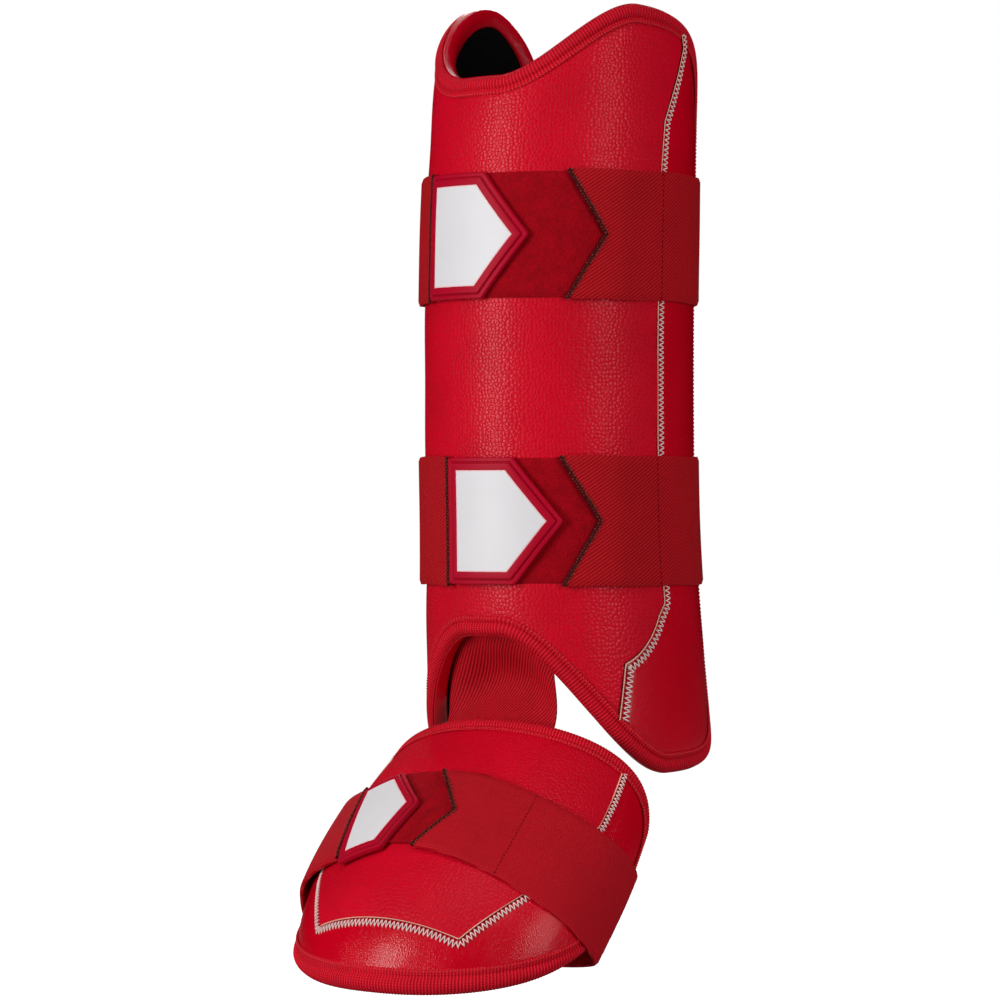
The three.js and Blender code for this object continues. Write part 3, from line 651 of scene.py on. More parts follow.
red_rubber = moulded("red_rubber", (0.46, 0.0004, 0.020, 1), (0.40, 0.0003, 0.016, 1), 0.5, 0.12, 0.00004)
white_rubber = moulded("white_rubber", (0.82, 0.80, 0.82, 1), (0.79, 0.77, 0.79, 1), 0.45, 0.3, 0.00003)
pink_rubber = moulded("pink_rubber", (0.95, 0.60, 0.62, 1), (0.90, 0.52, 0.55, 1), 0.45, 0.2, 0.00003)


def spun(name, colour, shadow, pitch):
    """Sewing thread: a tight twist that shades across the thread's own length."""
    made, tree, shader, space, flat = new_material(name, 0.6)
    twist = use_group(tree, weave_tree, {"Flat": flat, "Pitch": pitch, "Slant": 55.0})
    tree.links.new(blend_colours(tree, twist["Shade"], shadow, colour), shader.inputs["Base Color"])
    shader.inputs["Specular IOR Level"].default_value = 0.1
    relief(tree, shader, twist["Height"], 0.00008)
    return made


white_thread = spun("white_thread", (1.0, 0.86, 0.83, 1), (0.84, 0.50, 0.48, 1), 0.0005)
lip_thread = spun("lip_thread", (0.84, 0.055, 0.055, 1), (0.46, 0.008, 0.014, 1), 0.0005)
red_thread = spun("red_thread", (0.28, 0.0008, 0.006, 1), (0.09, 0.0003, 0.002, 1), 0.0005)
whip_thread = spun("whip_thread", (0.34, 0.07, 0.05, 1), (0.02, 0.0010, 0.001, 1), 0.0027)
# Near-black cord: it stands partly for the dark whipping and partly for painted shade, along cut ends and
# beside the shin seams.
whip_cord_and_shade = spun("whip_cord_and_shade", (0.07, 0.001, 0.002, 1), (0.03, 0.0005, 0.001, 1), 0.0009)
cut_edge = spun("cut_leather_edge", (0.98, 0.60, 0.46, 1), (0.85, 0.38, 0.27, 1), 0.0012)
print("materials:", len(bpy.data.materials))


# %% [markdown]
# ## Padded panels
# Each shell is foam under a sewn skin: it swells in its middle and is pulled down along its seams.
# A cloth simulation could find that form, but its remesh would blur the narrow seam that stitches
# lie in. So the distance of every point from the panel's border gives the form directly.

# %% Padding over a grid
seam_pull = 1.2 * mm
wave_count = 9


def border_distance(points, border):
    """Distance of every point from the nearest point of the border, from squared lengths."""
    flat = points.reshape(-1, 3)
    squared = (flat**2).sum(1)[:, None] + (border**2).sum(1) - 2 * flat @ border.T
    return np.sqrt(np.maximum(squared.min(1), 0)).reshape(points.shape[:2])


def swell(distance, drop, crown, reach):
    """Offset of a sewn skin: down by the drop at its border, up by the crown well inside it, both
    dying off as e to the minus distance over a reach."""
    return -drop * np.exp(-distance / seam_pull) + crown * (1 - np.exp(-distance / reach))


rng = np.random.default_rng(11)
wave_ways = unit(rng.normal(size=(wave_count, 3))) * rng.uniform(60, 170, (wave_count, 1))
wave_starts = rng.uniform(0, 2 * np.pi, wave_count)


def ripple(points, height):
    """Gentle unevenness of foam under skin: a sum of nine long seeded waves."""
    return height * np.sin(points @ wave_ways.T + wave_starts).mean(-1) * 3


def ride_for(piece, node_name, *replaced):
    """The piece moves with the guard and stands for the replaced nodes, which are hidden. The node's name is
    not used.
    """
    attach(piece, "root")
    if replaced:
        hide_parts(*replaced)
    return piece


def pad(piece, node_name):
    """The piece stands for a node, whose part it hides, and its face count is printed."""
    ride_for(piece, node_name, node_name)
    print(piece.name, "faces:", len(piece.data.polygons))


# %% [markdown]
# ### Shin panels
# The pebbled front is cut with straight seams down its sides, and a smooth panel is sewn to each of
# them. All three are one grid in c and s, cut at the seams, so they meet without a gap. The side
# panels are pulled down along the seam, and the front lies on top of them.

# %% Shin panels
panel_inset = 2 * shin_binding_radius + 0.5 * mm
half_gap = 0.002


def shin_panel(name, from_c, to_c, columns, material, node_name, sewn_sides):
    """A panel of the shin shell between two values of c. sewn_sides lists the columns pulled down."""
    c, s = grid(from_c, to_c, columns, 0, 1, 150)
    spot = shin_spot(c, s, panel_inset)
    flush = shin_point(*spot, 0)
    rows = [flush[:, 0], flush[:, -1]] + [flush[side] for side in sewn_sides]
    distance = border_distance(flush, np.concatenate(rows))
    offset = swell(distance, 0.8 * mm, 0.9 * mm, 9 * mm) + ripple(flush, 0.25 * mm)
    pad(laid(name, shin, spot, offset, -shin_padding, material), node_name)


shin_panel("pebbled_shin_panel", -0.5, 0.5, 110, pebbled, "shin_front_panel", [])
shin_panel("outer_side_panel", 0.5 + half_gap, 1, 48, smooth_leather, "shin_outer_side_panel", [0, -1])
shin_panel("inner_side_panel", -1, -0.5 - half_gap, 48, smooth_leather, "shin_inner_side_panel", [0, -1])

# %% [markdown]
# ### Foot panels
# The foot plate has a pebbled centre, and one smooth panel that runs round it from side to toe to
# side. Both are made from one grid over the whole plate: each keeps its own cells of it.

# %% Foot panels
foot_inset = 7.5 * mm
seam_shift = 0.001


def foot_panel(name, centre, material, node_name):
    """The centre panel inside the foot seam, or the panel that runs round it. The grid lines on the
    seam are moved a little into the panel, so that the two never share a face."""
    c, s = grid(-1, 1, 121, 0, 1, 97)
    hold = -1 if centre else 1
    on_front = (np.abs(s - foot_front_row) < 1e-6) & (np.abs(c) < 0.501)
    on_side = (np.abs(np.abs(c) - 0.5) < 1e-6) & (s < foot_front_row + 1e-6)
    c = c + np.where(on_side, hold * seam_shift * np.sign(c), 0)
    s = s + np.where(on_front, hold * seam_shift, 0)
    spot = foot_spot(c, s, foot_inset)
    flush = foot_point(*spot, 0)
    middle_c = (c[1:, 1:] + c[:-1, :-1]) / 2
    middle_s = (s[1:, 1:] + s[:-1, :-1]) / 2
    inside = (np.abs(middle_c) < 0.5) & (middle_s < foot_front_row)
    rim = np.concatenate([flush[:, 0], flush[:, -1], flush[0], flush[-1]])
    seam = np.concatenate([flush[on_front], flush[on_side]])
    distance = border_distance(flush, rim if centre else np.concatenate([rim, seam]))
    offset = swell(distance, 0.7 * mm, 0.8 * mm, 8 * mm) + ripple(flush, 0.2 * mm)
    cells = inside if centre else ~inside
    pad(laid(name, foot, spot, offset, -foot_padding, material, cells), node_name)


foot_panel("pebbled_foot_panel", True, pebbled, "foot_centre_panel")
foot_panel("toe_and_side_panel", False, smooth_leather, "foot_toe_panel")

# %% [markdown]
# ## Lining and inner rim
# The inside of the shin shell is a black knit with a smooth band round it, which is what shows over
# the dip of the top edge. The knit is a plain layer on the same surface. The band is a closed
# section carried round the edge, like the bindings below.

# %% Lining
lining_inset = 9.9 * mm
inside_seam = 80
c, s = grid(-1, 1, 81, 0, 1, 81)
lining_top = -shin_padding - lining_gap
lining = laid("black_lining", shin, shin_spot(c, s, lining_inset, inside_seam), lining_top,
              lining_top - lining_thickness, lining_knit)
ride_for(lining, "shin_lining", "shin_lining")


# %% Loops round the edges
def loop_spots(across, along):
    """Walk round the border of the c and s square, with so many points across and along."""
    c, s = np.linspace(-1, 1, across + 1), np.linspace(0, 1, along + 1)
    ends = np.ones(along)
    round_c = np.concatenate([c[:-1], ends, c[:0:-1], -ends])
    round_s = np.concatenate([0 * c[:-1], s[:-1], 0 * c[:-1] + 1, s[:0:-1]])
    return round_c, round_s


def smooth_line(points, count):
    """A closed line through all the points, on a Catmull-Rom curve: a cubic through four neighbours."""
    at = np.arange(count) / count * len(points)
    first, t = np.floor(at).astype(int), (at % 1)[:, None]
    p = [points[(first + k) % len(points)] for k in (-1, 0, 1, 2)]
    return 0.5 * (2 * p[1] + (p[2] - p[0]) * t + (2 * p[0] - 5 * p[1] + 4 * p[2] - p[3]) * t**2
                  + (3 * p[1] - p[0] - 3 * p[2] + p[3]) * t**3)


rings_per_step = 4


def edge_loop(spot, point, section, step, across, along):
    """A section of insets and offsets carried round a shell's edge, with four rings to each step
    along it. Gives the rings and the length up to each of them."""
    c, s = loop_spots(across, along)
    line = point(*spot(c, s, 0), 0)
    length = running(np.concatenate([line, line[:1]]))
    count = int(length[-1] / step) * rings_per_step
    at = np.arange(count) / count * length[-1]
    index = np.interp(at, length, np.arange(len(length)))
    low, t = np.floor(index).astype(int), index % 1
    rings = []
    for inset, offset in section:
        points = point(*spot(c, s, inset), offset)
        points = np.concatenate([points, points[:1]])
        rings.append(mix(points[low], points[low + 1], t[:, None]))
    return np.stack(rings, 1), at


# %% Inner rim
# Each row is an inset from the edge and an offset from the shell's face, in millimetres.
rim_section = np.array([[0.5, -2.3], [0.0, -4.2], [0.6, -7.0], [2.2, -8.6], [4.6, -9.2], [7.2, -9.0],
                        [9.0, -8.6], [9.6, -8.0], [9.4, -7.3], [7.4, -6.9], [6.9, -2.4]]) * mm


def inside_spot(c, s, inset):
    """Places on the inside, where no seam bends the grid."""
    return shin_spot(c, s, inset, inside_seam)


rim_rings, rim_length = edge_loop(inside_spot, shin_point, smooth_line(rim_section, 28), 4 * mm, 240, 80)
rim_flat = np.stack(np.broadcast_arrays(rim_length[:, None], running(rim_rings[0])), -1)
rim = loop_tube("inner_rim_band", rim_rings, rim_flat, smooth_leather)
ride_for(rim, "shin_inner_rim", "shin_inner_rim")

# %% [markdown]
# ## Rolled bindings
# Ribbed elastic tape is folded over each raw edge and sewn down with one row of stitches, so that a
# round bead stands at the edge with a flat lip beside it. A bump map could draw the ribs, but they
# show in the outline, so they are real here: the bead's rings swell and shrink along the path.

# %% Binding sections
# The same kind of rows: first the bead and the lip on the outside, then what goes round behind.
bead_outside = [[0.3, -1.9], [1.15, -0.3], [2.4, 0.75], [3.8, 1.1], [5.2, 0.9], [6.1, 0.3], [6.6, -0.3],
                [7.1, 0.35], [7.9, 0.7], [8.8, 0.65], [9.4, 0.4], [9.4, 0.1], [7.5, 0.05]]
shin_bead = np.array(bead_outside + [[7.1, -0.6], [6.8, -1.7], [3.5, -2.1], [0.5, -2.2]])
foot_bead = np.array(bead_outside + [
    [7.5, -6.1], [9.4, -6.15], [9.4, -6.4], [8.8, -6.6], [7.9, -6.7], [7.1, -6.4], [6.6, -5.85],
    [6.1, -6.3], [5.2, -6.7], [3.8, -6.9], [2.4, -6.6], [1.15, -5.7], [0.3, -4.1], [0, -3]])
rib_pitch = 1.6 * mm
rib_depth = 0.07
bead_end, lip_middle = 6.3 * mm, 8.7 * mm
lip_pitch = 1.9 * mm
lip_lift = 0.8 * mm


# %% Binding tubes
def binding(shell, spot, point, section, points, across, along):
    """Tape round one shell: the section carried round the edge, with the bead drawn in towards its
    core between ribs, by a cosine along the path."""
    section = smooth_line(section, points) * mm
    rings, length = edge_loop(spot, point, section, rib_pitch, across, along)
    on_bead = section[:, 0] < bead_end
    core = rings[:, on_bead].mean(1, keepdims=True)
    rib = np.arange(len(rings)) / rings_per_step
    size = 1 - rib_depth * (0.5 - 0.5 * np.cos(2 * np.pi * rib))
    rings = np.where(on_bead[:, None], core + (rings - core) * size[:, None, None], rings)
    flat = np.stack(np.broadcast_arrays(((rib - 0.25) * rib_pitch)[:, None], running(section)), -1)
    piece = loop_tube(shell + "_edge_binding", rings, flat, tape, 70)
    ride_for(piece, shell + "_binding", shell + "_binding")
    print(piece.name, "ribs:", len(rings) // rings_per_step, "faces:", len(piece.data.polygons))


def lip_stitches(shell, spot, point, section, points, across, along):
    """One row of stitches round the middle of the lip."""
    rows = [[lip_middle, lip_lift], [lip_middle, lip_lift + 1 * mm]]
    line, length = edge_loop(spot, point, rows, rings_per_step * lip_pitch, across, along)
    out = unit(line[:, 1] - line[:, 0])
    row = spindles(shell + "_lip_stitches", line[:, 0], out, 1.4 * mm, 0.24 * mm, lip_thread)
    ride_for(row, shell + "_binding")


shells = [("shin", shin_spot, shin_point, shin_bead, 28, 640, 240),
          ("foot", foot_spot, foot_point, foot_bead, 34, 400, 240)]
for shell in shells:
    binding(*shell)
for shell in shells:
    lip_stitches(*shell)

# %% [markdown]
# ## Straps
# A wrap strap is elastic webbing that starts with a V-notched end on the outer side, runs round the
# back of the leg and comes back to the front, where the rubber tab fastens it to a patch of brushed
# loop. A strap keeps its width and lies on the shell, so it is a slab on the shell's own surface.
# The cut ends are whipped: a near-black cord lies along the cut, partly the whipping and partly painted
# shade, and a thread zigzags over it.

# %% Whipped ends
strap_width = 62 * mm
webbing_thickness = 2 * mm
over_patch = 2.2 * mm
strap_top = over_patch + webbing_thickness
notch_depth = 18 * mm
end_tuck = np.array([1.8, 0]) * mm


def lay(name, node_name, place, path, lift, radius, material, sides=8):
    """A thread along flat places on a surface, which moves with the guard. The node's name is not used."""
    ride_for(thread(name, place, path, lift, radius, material, sides), node_name)


def whipped_end(name, place, path, node_name):
    """A cut end of webbing: a near-black cord along it, partly whipping and partly painted shade along the
    cut, and a thread that zigzags over the cord.
    """
    cord_line = beside(evenly(path, 0.8 * mm), 0.3 * mm)
    lay(name + "_cord", node_name, place, cord_line, strap_top - 0.5 * mm, 1.05 * mm, whip_cord_and_shade)
    way, high = zigzag(path, 1.5 * mm, 1.1 * mm, 0.5)
    lay(name + "_whip", node_name, place, way, strap_top + 0.3 * mm, 0.17 * mm, whip_thread, 6)


# %% Shin straps
# A name, the height of the middle, and the angles of the notch's corners and the tab's straight edge.
shin_straps = [("upper", 64 * mm, 40, -26.6), ("lower", -72 * mm, 37.5, -13)]


def shin_arc(length):
    """Degrees round the shin for a length."""
    return np.degrees(length / shin_half_width)


def strap_edges(s):
    """How far a strap's face sinks at its woven edges, with a low ridge just inside them."""
    edge = np.minimum(s, 1 - s)
    return -0.7 * mm * np.exp(-edge / 0.018) + 0.15 * mm * np.exp(-(((edge - 0.04) / 0.02) ** 2))


def shin_strap(name, middle, notch, tab):
    """Webbing from the notched end at one angle round to the tab's straight edge at another. It
    lies over the patch at both ends and close to the shell between them."""
    node_name = name + "_strap"
    t, s = grid(0, 1, 220, 0, 1, 31)
    start = notch + shin_arc(notch_depth) * (1 - np.abs(2 * s - 1))
    full, end = notch + shin_arc(notch_depth) + 2, 360 + tab - shin_arc(0.3 * mm)
    angle = np.where(t < 0.1, mix(start, full, t / 0.1), mix(full, end, (t - 0.1) / 0.9))
    height = middle + strap_width * (s - 0.5) + 0.25 * mm * np.sin(np.radians(angle) * 9)
    off_patch = ramp(notch + 20, notch + 34, angle) - ramp(250, 290, angle)
    lift = over_patch + (1 * mm - over_patch) * off_patch
    top = lift + webbing_thickness + strap_edges(s)
    piece = laid(name + "_webbing", shin, (angle, height), top, lift, webbing)
    ride_for(piece, node_name, node_name)
    flat = shin_flat(angle, height)
    whipped_end(name + "_notch", on_shin, flat[0, ::-1], node_name)
    whipped_end(name + "_tab_end", on_shin, flat[-1] - end_tuck, node_name)
    across = middle + (strap_width - 3 * mm) * (s[0] - 0.5)
    seam = np.stack([0 * s[0] + np.radians(notch + 43) * shin_half_width, across], -1)
    row = stitches(
        name + "_strap_stitches", on_shin, seam, 3.05 * mm, 1.9 * mm, 0.26 * mm, 2.5 * mm, red_thread)
    ride_for(row, node_name)
    line = shin_point(angle[:, 15], height[:, 15], top[:, 15])
    print(name, "strap length in mm:", round(running(line)[-1] / mm))


for strap in shin_straps:
    shin_strap(*strap)

# %% [markdown]
# ### Loop patches
# The patch that the tab grips is a brushed fabric with thin rolled edges. It is a low slab whose
# face falls off at the edges, with one thread along each of them.

# %% Shin patches
patch_width = 60 * mm
patch_base = 0.3 * mm
patch_top = 1.9 * mm


def shin_patch(name, middle, notch, tab):
    """Brushed patch on the shell from behind the tab to under the notched end."""
    node_name = name + "_loop_patch"
    t, s = grid(0, 1, 80, 0, 1, 51)
    angle = mix(tab - shin_arc(6 * mm), notch + shin_arc(21 * mm), t)
    height = middle + patch_width * (s - 0.5)
    top = patch_top - 0.8 * mm * np.exp(-np.minimum(s, 1 - s) / 0.02)
    piece = laid(name + "_loop_pile", shin, (angle, height), top, patch_base, loop_pile)
    flat = shin_flat(angle, height)
    for label, row in [("lower", 2), ("upper", -3)]:
        line = evenly(flat[:, row], 1 * mm)
        lay(name + "_" + label + "_pile_edge", node_name, on_shin, line, 1.35 * mm, 0.3 * mm, lip_thread, 6)
    ride_for(piece, node_name, node_name)


for strap in shin_straps:
    shin_patch(*strap)

# %% [markdown]
# ### Foot strap
# The strap over the foot plate runs at a slant, goes round under the sole and comes back to its own
# tab. It is made as the others are, on the foot's surface, which runs on as a loop under the sole.

# %% Foot strap
foot_strap_width = 50 * mm
foot_notch_angle, foot_notch_depth = -6, 14 * mm
foot_tab_angle, foot_tab_along, foot_tab_turn = -36, 75 * mm, 16


def foot_strap_line(angle):
    """Length along the plate of the strap's middle line at an angle."""
    return 67 * mm + 7 * mm * (ramp(-6, 60, angle) - 0.5 * ramp(120, 320, angle))


def foot_arc(length):
    """Degrees round the foot plate for a length."""
    return np.degrees(length / ankle_half_width)


t, s = grid(0, 1, 220, 0, 1, 31)
start = foot_notch_angle + 6 * s + foot_arc(foot_notch_depth * (1 - np.abs(2 * s - 1)))
past = foot_strap_line(360 + foot_tab_angle) + foot_strap_width * (s - 0.5) - foot_tab_along
end = 360 + foot_tab_angle + foot_arc(past * np.tan(np.radians(foot_tab_turn)) - 0.6 * mm)
angle = mix(start, end, t)
length = foot_strap_line(angle) + foot_strap_width * (s - 0.5)
off_patch = ramp(14, 26, angle) - ramp(280, 310, angle)
over_binding = ramp(200, 280, angle) * (1 - ramp(290, 322, angle))
lift = over_patch + (1 * mm - over_patch) * off_patch + 2.5 * mm * over_binding
top = lift + webbing_thickness + strap_edges(s)
ride_for(laid("foot_webbing", foot, (angle, length), top, lift, fine_webbing), "foot_strap", "foot_strap")
flat = foot_flat(angle, length)
whipped_end("foot_notch", on_foot, flat[0, ::-1], "foot_strap")
whipped_end("foot_tab_end", on_foot, flat[-1] - end_tuck, "foot_strap")
across = foot_strap_line(32) + (foot_strap_width - 2 * mm) * (s[0] - 0.5)
cross = np.stack([mix(40.2, 41.5, s[0]) * mm, across], -1)
row = stitches("foot_strap_stitches", on_foot, cross, 3.05 * mm, 1.5 * mm, 0.22 * mm, 2 * mm, red_thread)
ride_for(row, "foot_strap")
middle = foot_point(angle[:, 15], length[:, 15], lift[:, 15])
print("foot strap length in mm:", round(running(middle)[-1] / mm))

# %% Foot patch
t, s = grid(0, 1, 80, 0, 1, 50)
spot = mix(foot_tab_angle + 6, 10, t), 65 * mm + 48 * mm * (s - 0.5)
pile = laid("foot_loop_pile", foot, spot, patch_top, patch_base, loop_pile)
ride_for(pile, "foot_loop_patch", "foot_loop_patch")

# %% [markdown]
# ## Ankle tongue
# The tongue is a wide elastic that hinges the two shells. It lies on the shin lining, bridges the
# gap and runs in under the foot plate. The bridge is a Bezier curve for each thread of its width,
# because that leaves the one surface and meets the other without a kink.

# %% Tongue
tongue_half_width, tongue_thickness = 34 * mm, 2 * mm
tongue_side, tongue_lean = -5.5 * mm, -3.5 * mm
under_shin, under_foot = 1.5 * mm, 1.8 * mm
up_inside, tongue_enter, tongue_under = 36 * mm, 13 * mm, 30 * mm
bridge_start, bridge_end = 0.2, 0.7
t, s = grid(0, 1, 121, -1, 1, 61)


def tongue_layer(depth):
    """The tongue's grid of points with its depth below the outer face: a stretch on the shin, a
    cubic Bezier bridge and a stretch under the plate."""
    inner = -shell_thickness - under_shin - depth
    place = s * tongue_half_width + tongue_side
    angle = np.degrees(np.arcsin(place / (shin_half_width - shell_thickness - under_shin)))
    leave = shin_bottom(angle) + 4 * mm
    upper = shin_point(angle, mix(arch_height + up_inside, leave, np.clip(t / bridge_start, 0, 1)), inner)
    turn = np.degrees(np.arcsin((place + tongue_lean) / ankle_half_width))
    under = tongue_enter + tongue_under * np.clip((t - bridge_end) / (1 - bridge_end), 0, 1)
    foot_inner = -foot_padding - under_foot - depth
    lower = foot_point(turn, under, foot_inner)
    start = shin_point(angle, leave, inner)
    stop = foot_point(turn, tongue_enter, foot_inner)
    span = np.linalg.norm(stop - start, axis=-1, keepdims=True)
    way = unit((stop - foot_point(turn, tongue_enter + 1 * mm, foot_inner)) * [0, 1, 1])
    reach = mix(1.1, 0.6, s**2)[..., None]
    first, second = start + np.array([0, 0, -0.35]) * span, stop + way * reach * span
    u = np.clip((t - bridge_start) / (bridge_end - bridge_start), 0, 1)[..., None]
    bridge = start * (1 - u) ** 3 + 3 * first * u * (1 - u) ** 2 + 3 * second * u**2 * (1 - u) + stop * u**3
    past = np.where((t >= bridge_end)[..., None], lower, bridge)
    return np.where((t <= bridge_start)[..., None], upper, past)


face = tongue_layer(0 * mm)
steps = np.linalg.norm(np.diff(face, axis=0), axis=-1)
flat = np.stack([s * tongue_half_width, np.concatenate([0 * s[:1], np.cumsum(steps, 0)])], -1)
tongue = slab("ankle_elastic", face, tongue_layer(tongue_thickness), flat, tongue_cloth)
ride_for(tongue, "ankle_tongue", "ankle_tongue")
print("tongue length in mm:", round(running(face[:, 30])[-1] / mm))


# %% [markdown]
# ## Rubber tabs
# Each strap ends in a five-sided moulded tab: a raised red frame with a groove round it and a plain
# white field sunk inside. Bevels on a cut-out would give one kind of edge. Here the outline is drawn
# in step by step instead, and each step has its own height, so the groove and rim come out as well.

# %% Tab outlines
corner_radius = 2.2 * mm
frame_base = 2.25


def tab_loop(side, point, height, inset, per_side=14, per_corner=6):
    """Outline of the tab drawn in by an inset: straight sides joined by arcs at its five corners. An
    arc's centre lies on the corner's bisector, by the inset and radius over the half turn's cosine."""
    half = height / 2
    corners = np.array([[0, -half], [side, -half], [side + point, 0], [side, half], [0, half]])
    before, after = unit(corners - np.roll(corners, 1, 0)), unit(np.roll(corners, -1, 0) - corners)
    half_turn = np.arccos(np.clip((before * after).sum(1), -1, 1)) / 2
    radius = max(corner_radius - inset, 0.15 * mm)
    middle = corners + unit(after - before) * ((inset + radius) / np.cos(half_turn))[:, None]
    arcs = []
    for k in range(5):
        x, y = before[k][1], -before[k][0]
        sweep = np.linspace(0, 2 * half_turn[k], per_corner)
        arc = [x * np.cos(sweep) - y * np.sin(sweep), x * np.sin(sweep) + y * np.cos(sweep)]
        arcs.append(middle[k] + radius * np.stack(arc, -1))
    share = np.linspace(0, 1, per_side + 2)[1:-1, None]
    sides = [mix(arcs[k][-1], arcs[(k + 1) % 5][0], share) for k in range(5)]
    return np.concatenate([part for k in range(5) for part in (arcs[k], sides[k])])


# %% Frames
# Each pair is an inset from the outline and a height over the strap, in millimetres.
frame_profile = [(0.4, 0.0), (0.0, 0.5), (0.0, 2.2), (0.3, 2.7), (0.8, 2.85), (1.8, 2.9), (2.1, 2.7),
                 (2.25, 2.4), (2.45, 2.4), (2.6, 3.0), (3.0, 3.5), (3.9, 3.65), (5.4, 3.65), (5.9, 3.6),
                 (6.1, 3.4), (6.2, frame_base)]
profile_width = 6.3 * mm


def rubber_tab(name, place, side, point, height, frame_width):
    """A frame from rings at the profile's insets and heights, closed by a floor and an underside
    whose rings shrink towards the middle."""
    scale = frame_width / profile_width * mm
    frame_lines = [tab_loop(side, point, height, inset * scale) for inset, up in frame_profile]
    centre = np.array([(side + point) * 0.42, 0])
    under = [mix(frame_lines[0], centre, share) for share in (0.98, 0.75, 0.5, 0.25)]
    floor = [mix(frame_lines[-1], centre, share) for share in (0.25, 0.5, 0.75, 0.98)]
    lines = under + frame_lines + floor
    heights = [0] * 4 + [up for inset, up in frame_profile] + [frame_base] * 4
    rings = np.stack([place(line, over_patch + up * mm) for line, up in zip(lines, heights)])
    faces = grid_faces(*rings.shape[:2], False, True)
    piece = make_mesh(name + "_rubber_frame", rings, faces, np.stack(lines), red_rubber, 35)
    ride_for(piece, name + "_tab_frame", name + "_tab_frame")


# %% Places of the tabs
def shin_place(tab, middle):
    """Places on the tab, measured from the middle of its straight edge, as points on the shin."""
    return lambda flat, offset: shin_point(tab + shin_arc(flat[..., 0]), middle + flat[..., 1], offset)


def foot_place(flat, offset):
    """The same for the foot's tab, which is turned on the plate."""
    cos, sin = np.cos(np.radians(foot_tab_turn)), np.sin(np.radians(foot_tab_turn))
    angle = foot_tab_angle + foot_arc(flat[..., 0] * cos + flat[..., 1] * sin)
    return foot_point(angle, foot_tab_along - flat[..., 0] * sin + flat[..., 1] * cos, offset)


# The straight side, the point past it, the height and the frame's width.
shin_tab = 35.3 * mm, 22.8 * mm, 60.5 * mm, 6.3 * mm
tabs = [(name, shin_place(tab, middle), *shin_tab) for name, middle, notch, tab in shin_straps]
tabs.append(("foot", foot_place, 23.5 * mm, 14 * mm, 53.5 * mm, 5 * mm))


# %% White fields
def white_field(name, place, side, point, height, frame_width):
    """The plain field: a five-sided slab whose rows follow the tab's height, over a slightly wider
    one that shows as a pink line round it."""
    slope = height / 2 / point
    base = over_patch + 2.3 * mm
    layers = [("edge", -0.2 * mm, 1.2 * mm, pink_rubber), ("field", 0.3 * mm, 1.3 * mm, white_rubber)]
    for label, inside, up, material in layers:
        inset = frame_width + inside
        tip = side + point - inset * np.hypot(1, 1 / slope)
        half = height / 2 - inset
        shoulder = tip - half / slope
        t, s = grid(0, 1, 41, -1, 1, 31)
        x = np.where(t < 0.6, mix(inset, shoulder, t / 0.6), mix(shoulder, tip, (t - 0.6) / 0.4))
        flat = np.stack([x, s * np.maximum(0.3 * mm, np.minimum(half, (tip - x) * slope))], -1)
        face, back = place(flat, base + up), place(flat, base)
        piece = slab(name + "_" + label, face, back, flat, material, smooth=30)
        ride_for(piece, name + "_tab_plate", *([name + "_tab_plate"] if label == "field" else []))


for tab in tabs:
    rubber_tab(*tab)
    white_field(*tab)

# %% [markdown]
# ## Seams and stitching
# The pebbled panel ends in a pale cut edge that lies on the smooth side panel, and a zigzag of white
# thread holds it down just beside that edge. The zigzag is one long thread on a triangle wave. It
# dips at the end of every swing, where the needle took it down.

# %% Shin seams
def dipping(high):
    """Lift of a zigzag thread, which falls as its swing nears its full reach."""
    return 0.75 * mm - 0.45 * mm * ramp(0.75, 1, high)


share = np.linspace(0, 1, 240)
for side, sign in [("outer", 1), ("inner", -1)]:
    line = evenly(shin_flat(*shin_spot(0.5 * sign + 0 * share, share, panel_inset + 0.3 * mm)), 0.8 * mm)
    edge, shade = beside(line, sign * 0.3 * mm), beside(line, -sign * 0.3 * mm)
    lay(side + "_cut_edge", "shin_front_panel", on_shin, edge, 0.85 * mm, 0.38 * mm, cut_edge)
    # Painted shadow: a thin near-black thread just beside the cut edge stands for the shade along the seam.
    lay(side + "_seam_painted_shadow", "shin_front_panel", on_shin, shade, 0.95 * mm, 0.24 * mm, whip_cord_and_shade)
    path, high = zigzag(beside(line, sign * 3.3 * mm), 2.4 * mm, 1.7 * mm)
    lay(side + "_zigzag", "shin_front_panel", on_shin, path, dipping(high), 0.3 * mm, white_thread)

# %% Foot seams
# One line runs down the inner seam, across the front and back up the outer seam.
down = np.linspace(0, foot_front_row, 120)
over = np.linspace(-0.5, 0.5, 160)
round_c = np.concatenate([0 * down - 0.5, over, 0 * down + 0.5])
round_s = np.concatenate([down, 0 * over + foot_front_row, down[::-1]])
line = evenly(foot_flat(*foot_spot(round_c, round_s, foot_inset + 0.3 * mm)), 0.8 * mm)
lay("foot_cut_edge", "foot_centre_panel", on_foot, line, 0.35 * mm, 0.32 * mm, cut_edge)
path, high = zigzag(beside(line, -2.6 * mm), 2.2 * mm, 1.7 * mm)
lay("foot_zigzag", "foot_centre_panel", on_foot, path, dipping(high), 0.25 * mm, white_thread)

# %% [markdown]
# ## Floor, light and camera
# Product light: soft boxes at both sides of the camera, one from above and one from behind, and a
# pale room. The two in front stand where their mirror streaks run down the shin and over the toe.
# The guard is held up as if worn, so the floor lies below it.

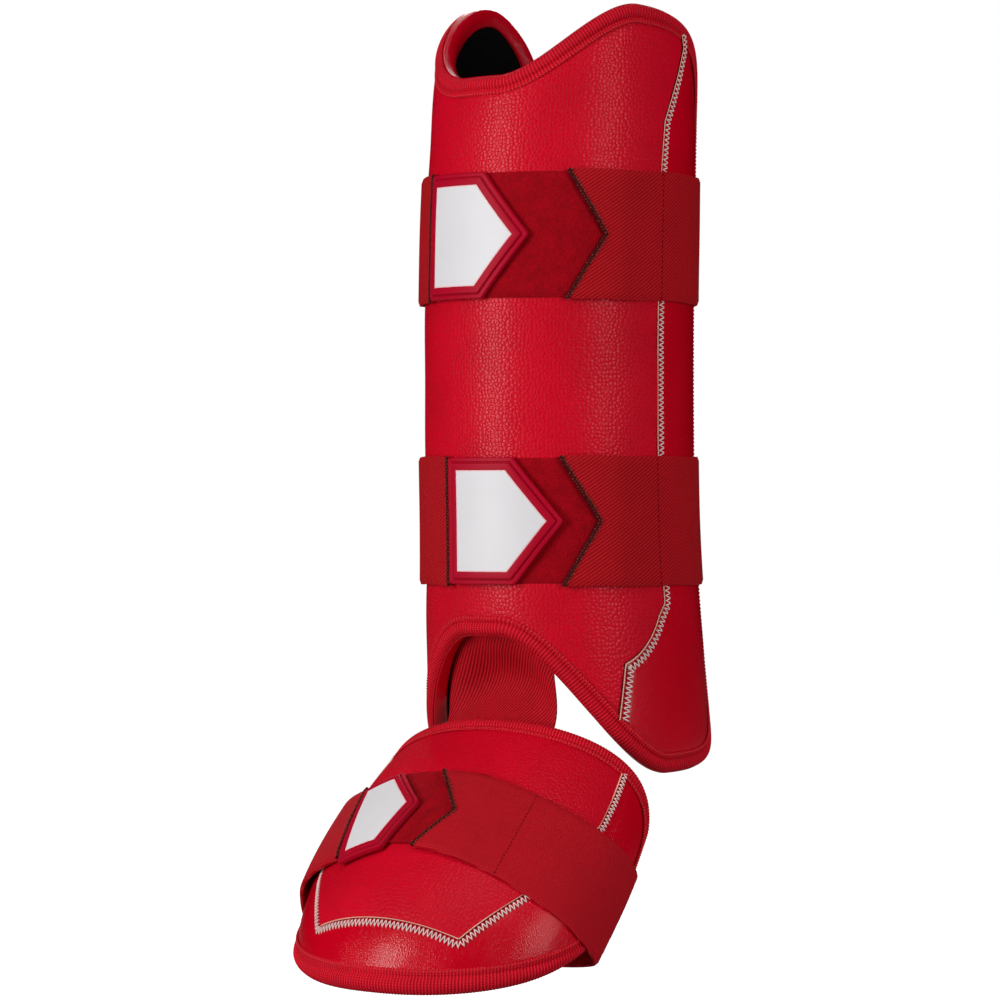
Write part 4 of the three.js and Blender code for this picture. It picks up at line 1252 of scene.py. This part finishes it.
# %% Floor
floor_height = -0.42
bpy.ops.mesh.primitive_plane_add(size=16, location=(0, 0, floor_height))
floor = bpy.context.object
floor.name = "floor"
pale = bpy.data.materials.new("pale_floor")
pale.use_nodes = True
pale_shader = pale.node_tree.nodes["Principled BSDF"]
pale_shader.inputs["Base Color"].default_value = (0.3, 0.3, 0.3, 1)
pale_shader.inputs["Roughness"].default_value = 0.9
pale_shader.inputs["Emission Color"].default_value = (1, 1, 1, 1)
seen = pale.node_tree.nodes.new("ShaderNodeLightPath").outputs["Is Camera Ray"]
glow = maths(pale.node_tree, "MULTIPLY", seen, 1.0)
pale.node_tree.links.new(glow, pale_shader.inputs["Emission Strength"])
floor.data.materials.append(pale)

# %% Lights
camera_turn = 38
back = Vector((np.sin(np.radians(camera_turn)), -np.cos(np.radians(camera_turn)), 0))
right = Vector((np.cos(np.radians(camera_turn)), np.sin(np.radians(camera_turn)), 0))
aim = Vector((0, 0, -0.05))


def soft_box(name, turn, climb, distance, width, height, power):
    """An area light at an angle from the camera's direction, pointing at the middle of the guard."""
    light = bpy.data.lights.new(name, "AREA")
    light.shape = "RECTANGLE"
    light.size, light.size_y, light.energy = width, height, power
    made = bpy.data.objects.new(name, light)
    azimuth, elevation = np.radians(camera_turn + turn), np.radians(climb)
    flat = np.cos(elevation)
    way = Vector((np.sin(azimuth) * flat, -np.cos(azimuth) * flat, np.sin(elevation)))
    made.location = way * distance + aim
    made.rotation_mode = "QUATERNION"
    made.rotation_quaternion = (-way).to_track_quat("-Z", "Y")
    bpy.context.scene.collection.objects.link(made)
    return made


soft_box("left_box", -56, 8, 1.6, 0.4, 1.2, 17)
soft_box("right_box", 36, 14, 1.6, 0.3, 1.0, 7.5)
# The fill from the side lights the panels without a streak of its own.
side_fill = soft_box("side_box", 72, 0, 1.8, 1.0, 1.2, 5)
side_fill.visible_glossy = False
soft_box("top_box", -15, 62, 1.8, 1.2, 0.9, 6)
soft_box("back_box", 180, 28, 2.0, 0.5, 1.0, 18)

# %% Room
# The room is pale to the camera and dim to the guard, as in a studio with black cards.
room_light = 0.1
world = bpy.data.worlds.new("room")
bpy.context.scene.world = world
world.use_nodes = True
room = world.node_tree.nodes["Background"]
room.inputs["Color"].default_value = (1, 1, 1, 1)
rays = world.node_tree.nodes.new("ShaderNodeLightPath").outputs
strength = maths(world.node_tree, "MULTIPLY_ADD", rays["Is Diffuse Ray"], room_light, rays["Is Camera Ray"])
world.node_tree.links.new(strength, room.inputs["Strength"])
bpy.context.scene.view_settings.view_transform = "Standard"

# %% Camera
camera_distance, camera_side, camera_height = 2, -0.0309, -0.062
camera = bpy.data.objects.new("camera", bpy.data.cameras.new("camera"))
camera.data.lens = 146.9
camera.data.sensor_width = 36
camera.location = back * camera_distance + right * camera_side + Vector((0, 0, camera_height))
camera.rotation_mode = "QUATERNION"
camera.rotation_quaternion = (-back).to_track_quat("-Z", "Y")
bpy.context.scene.collection.objects.link(camera)
bpy.context.scene.camera = camera
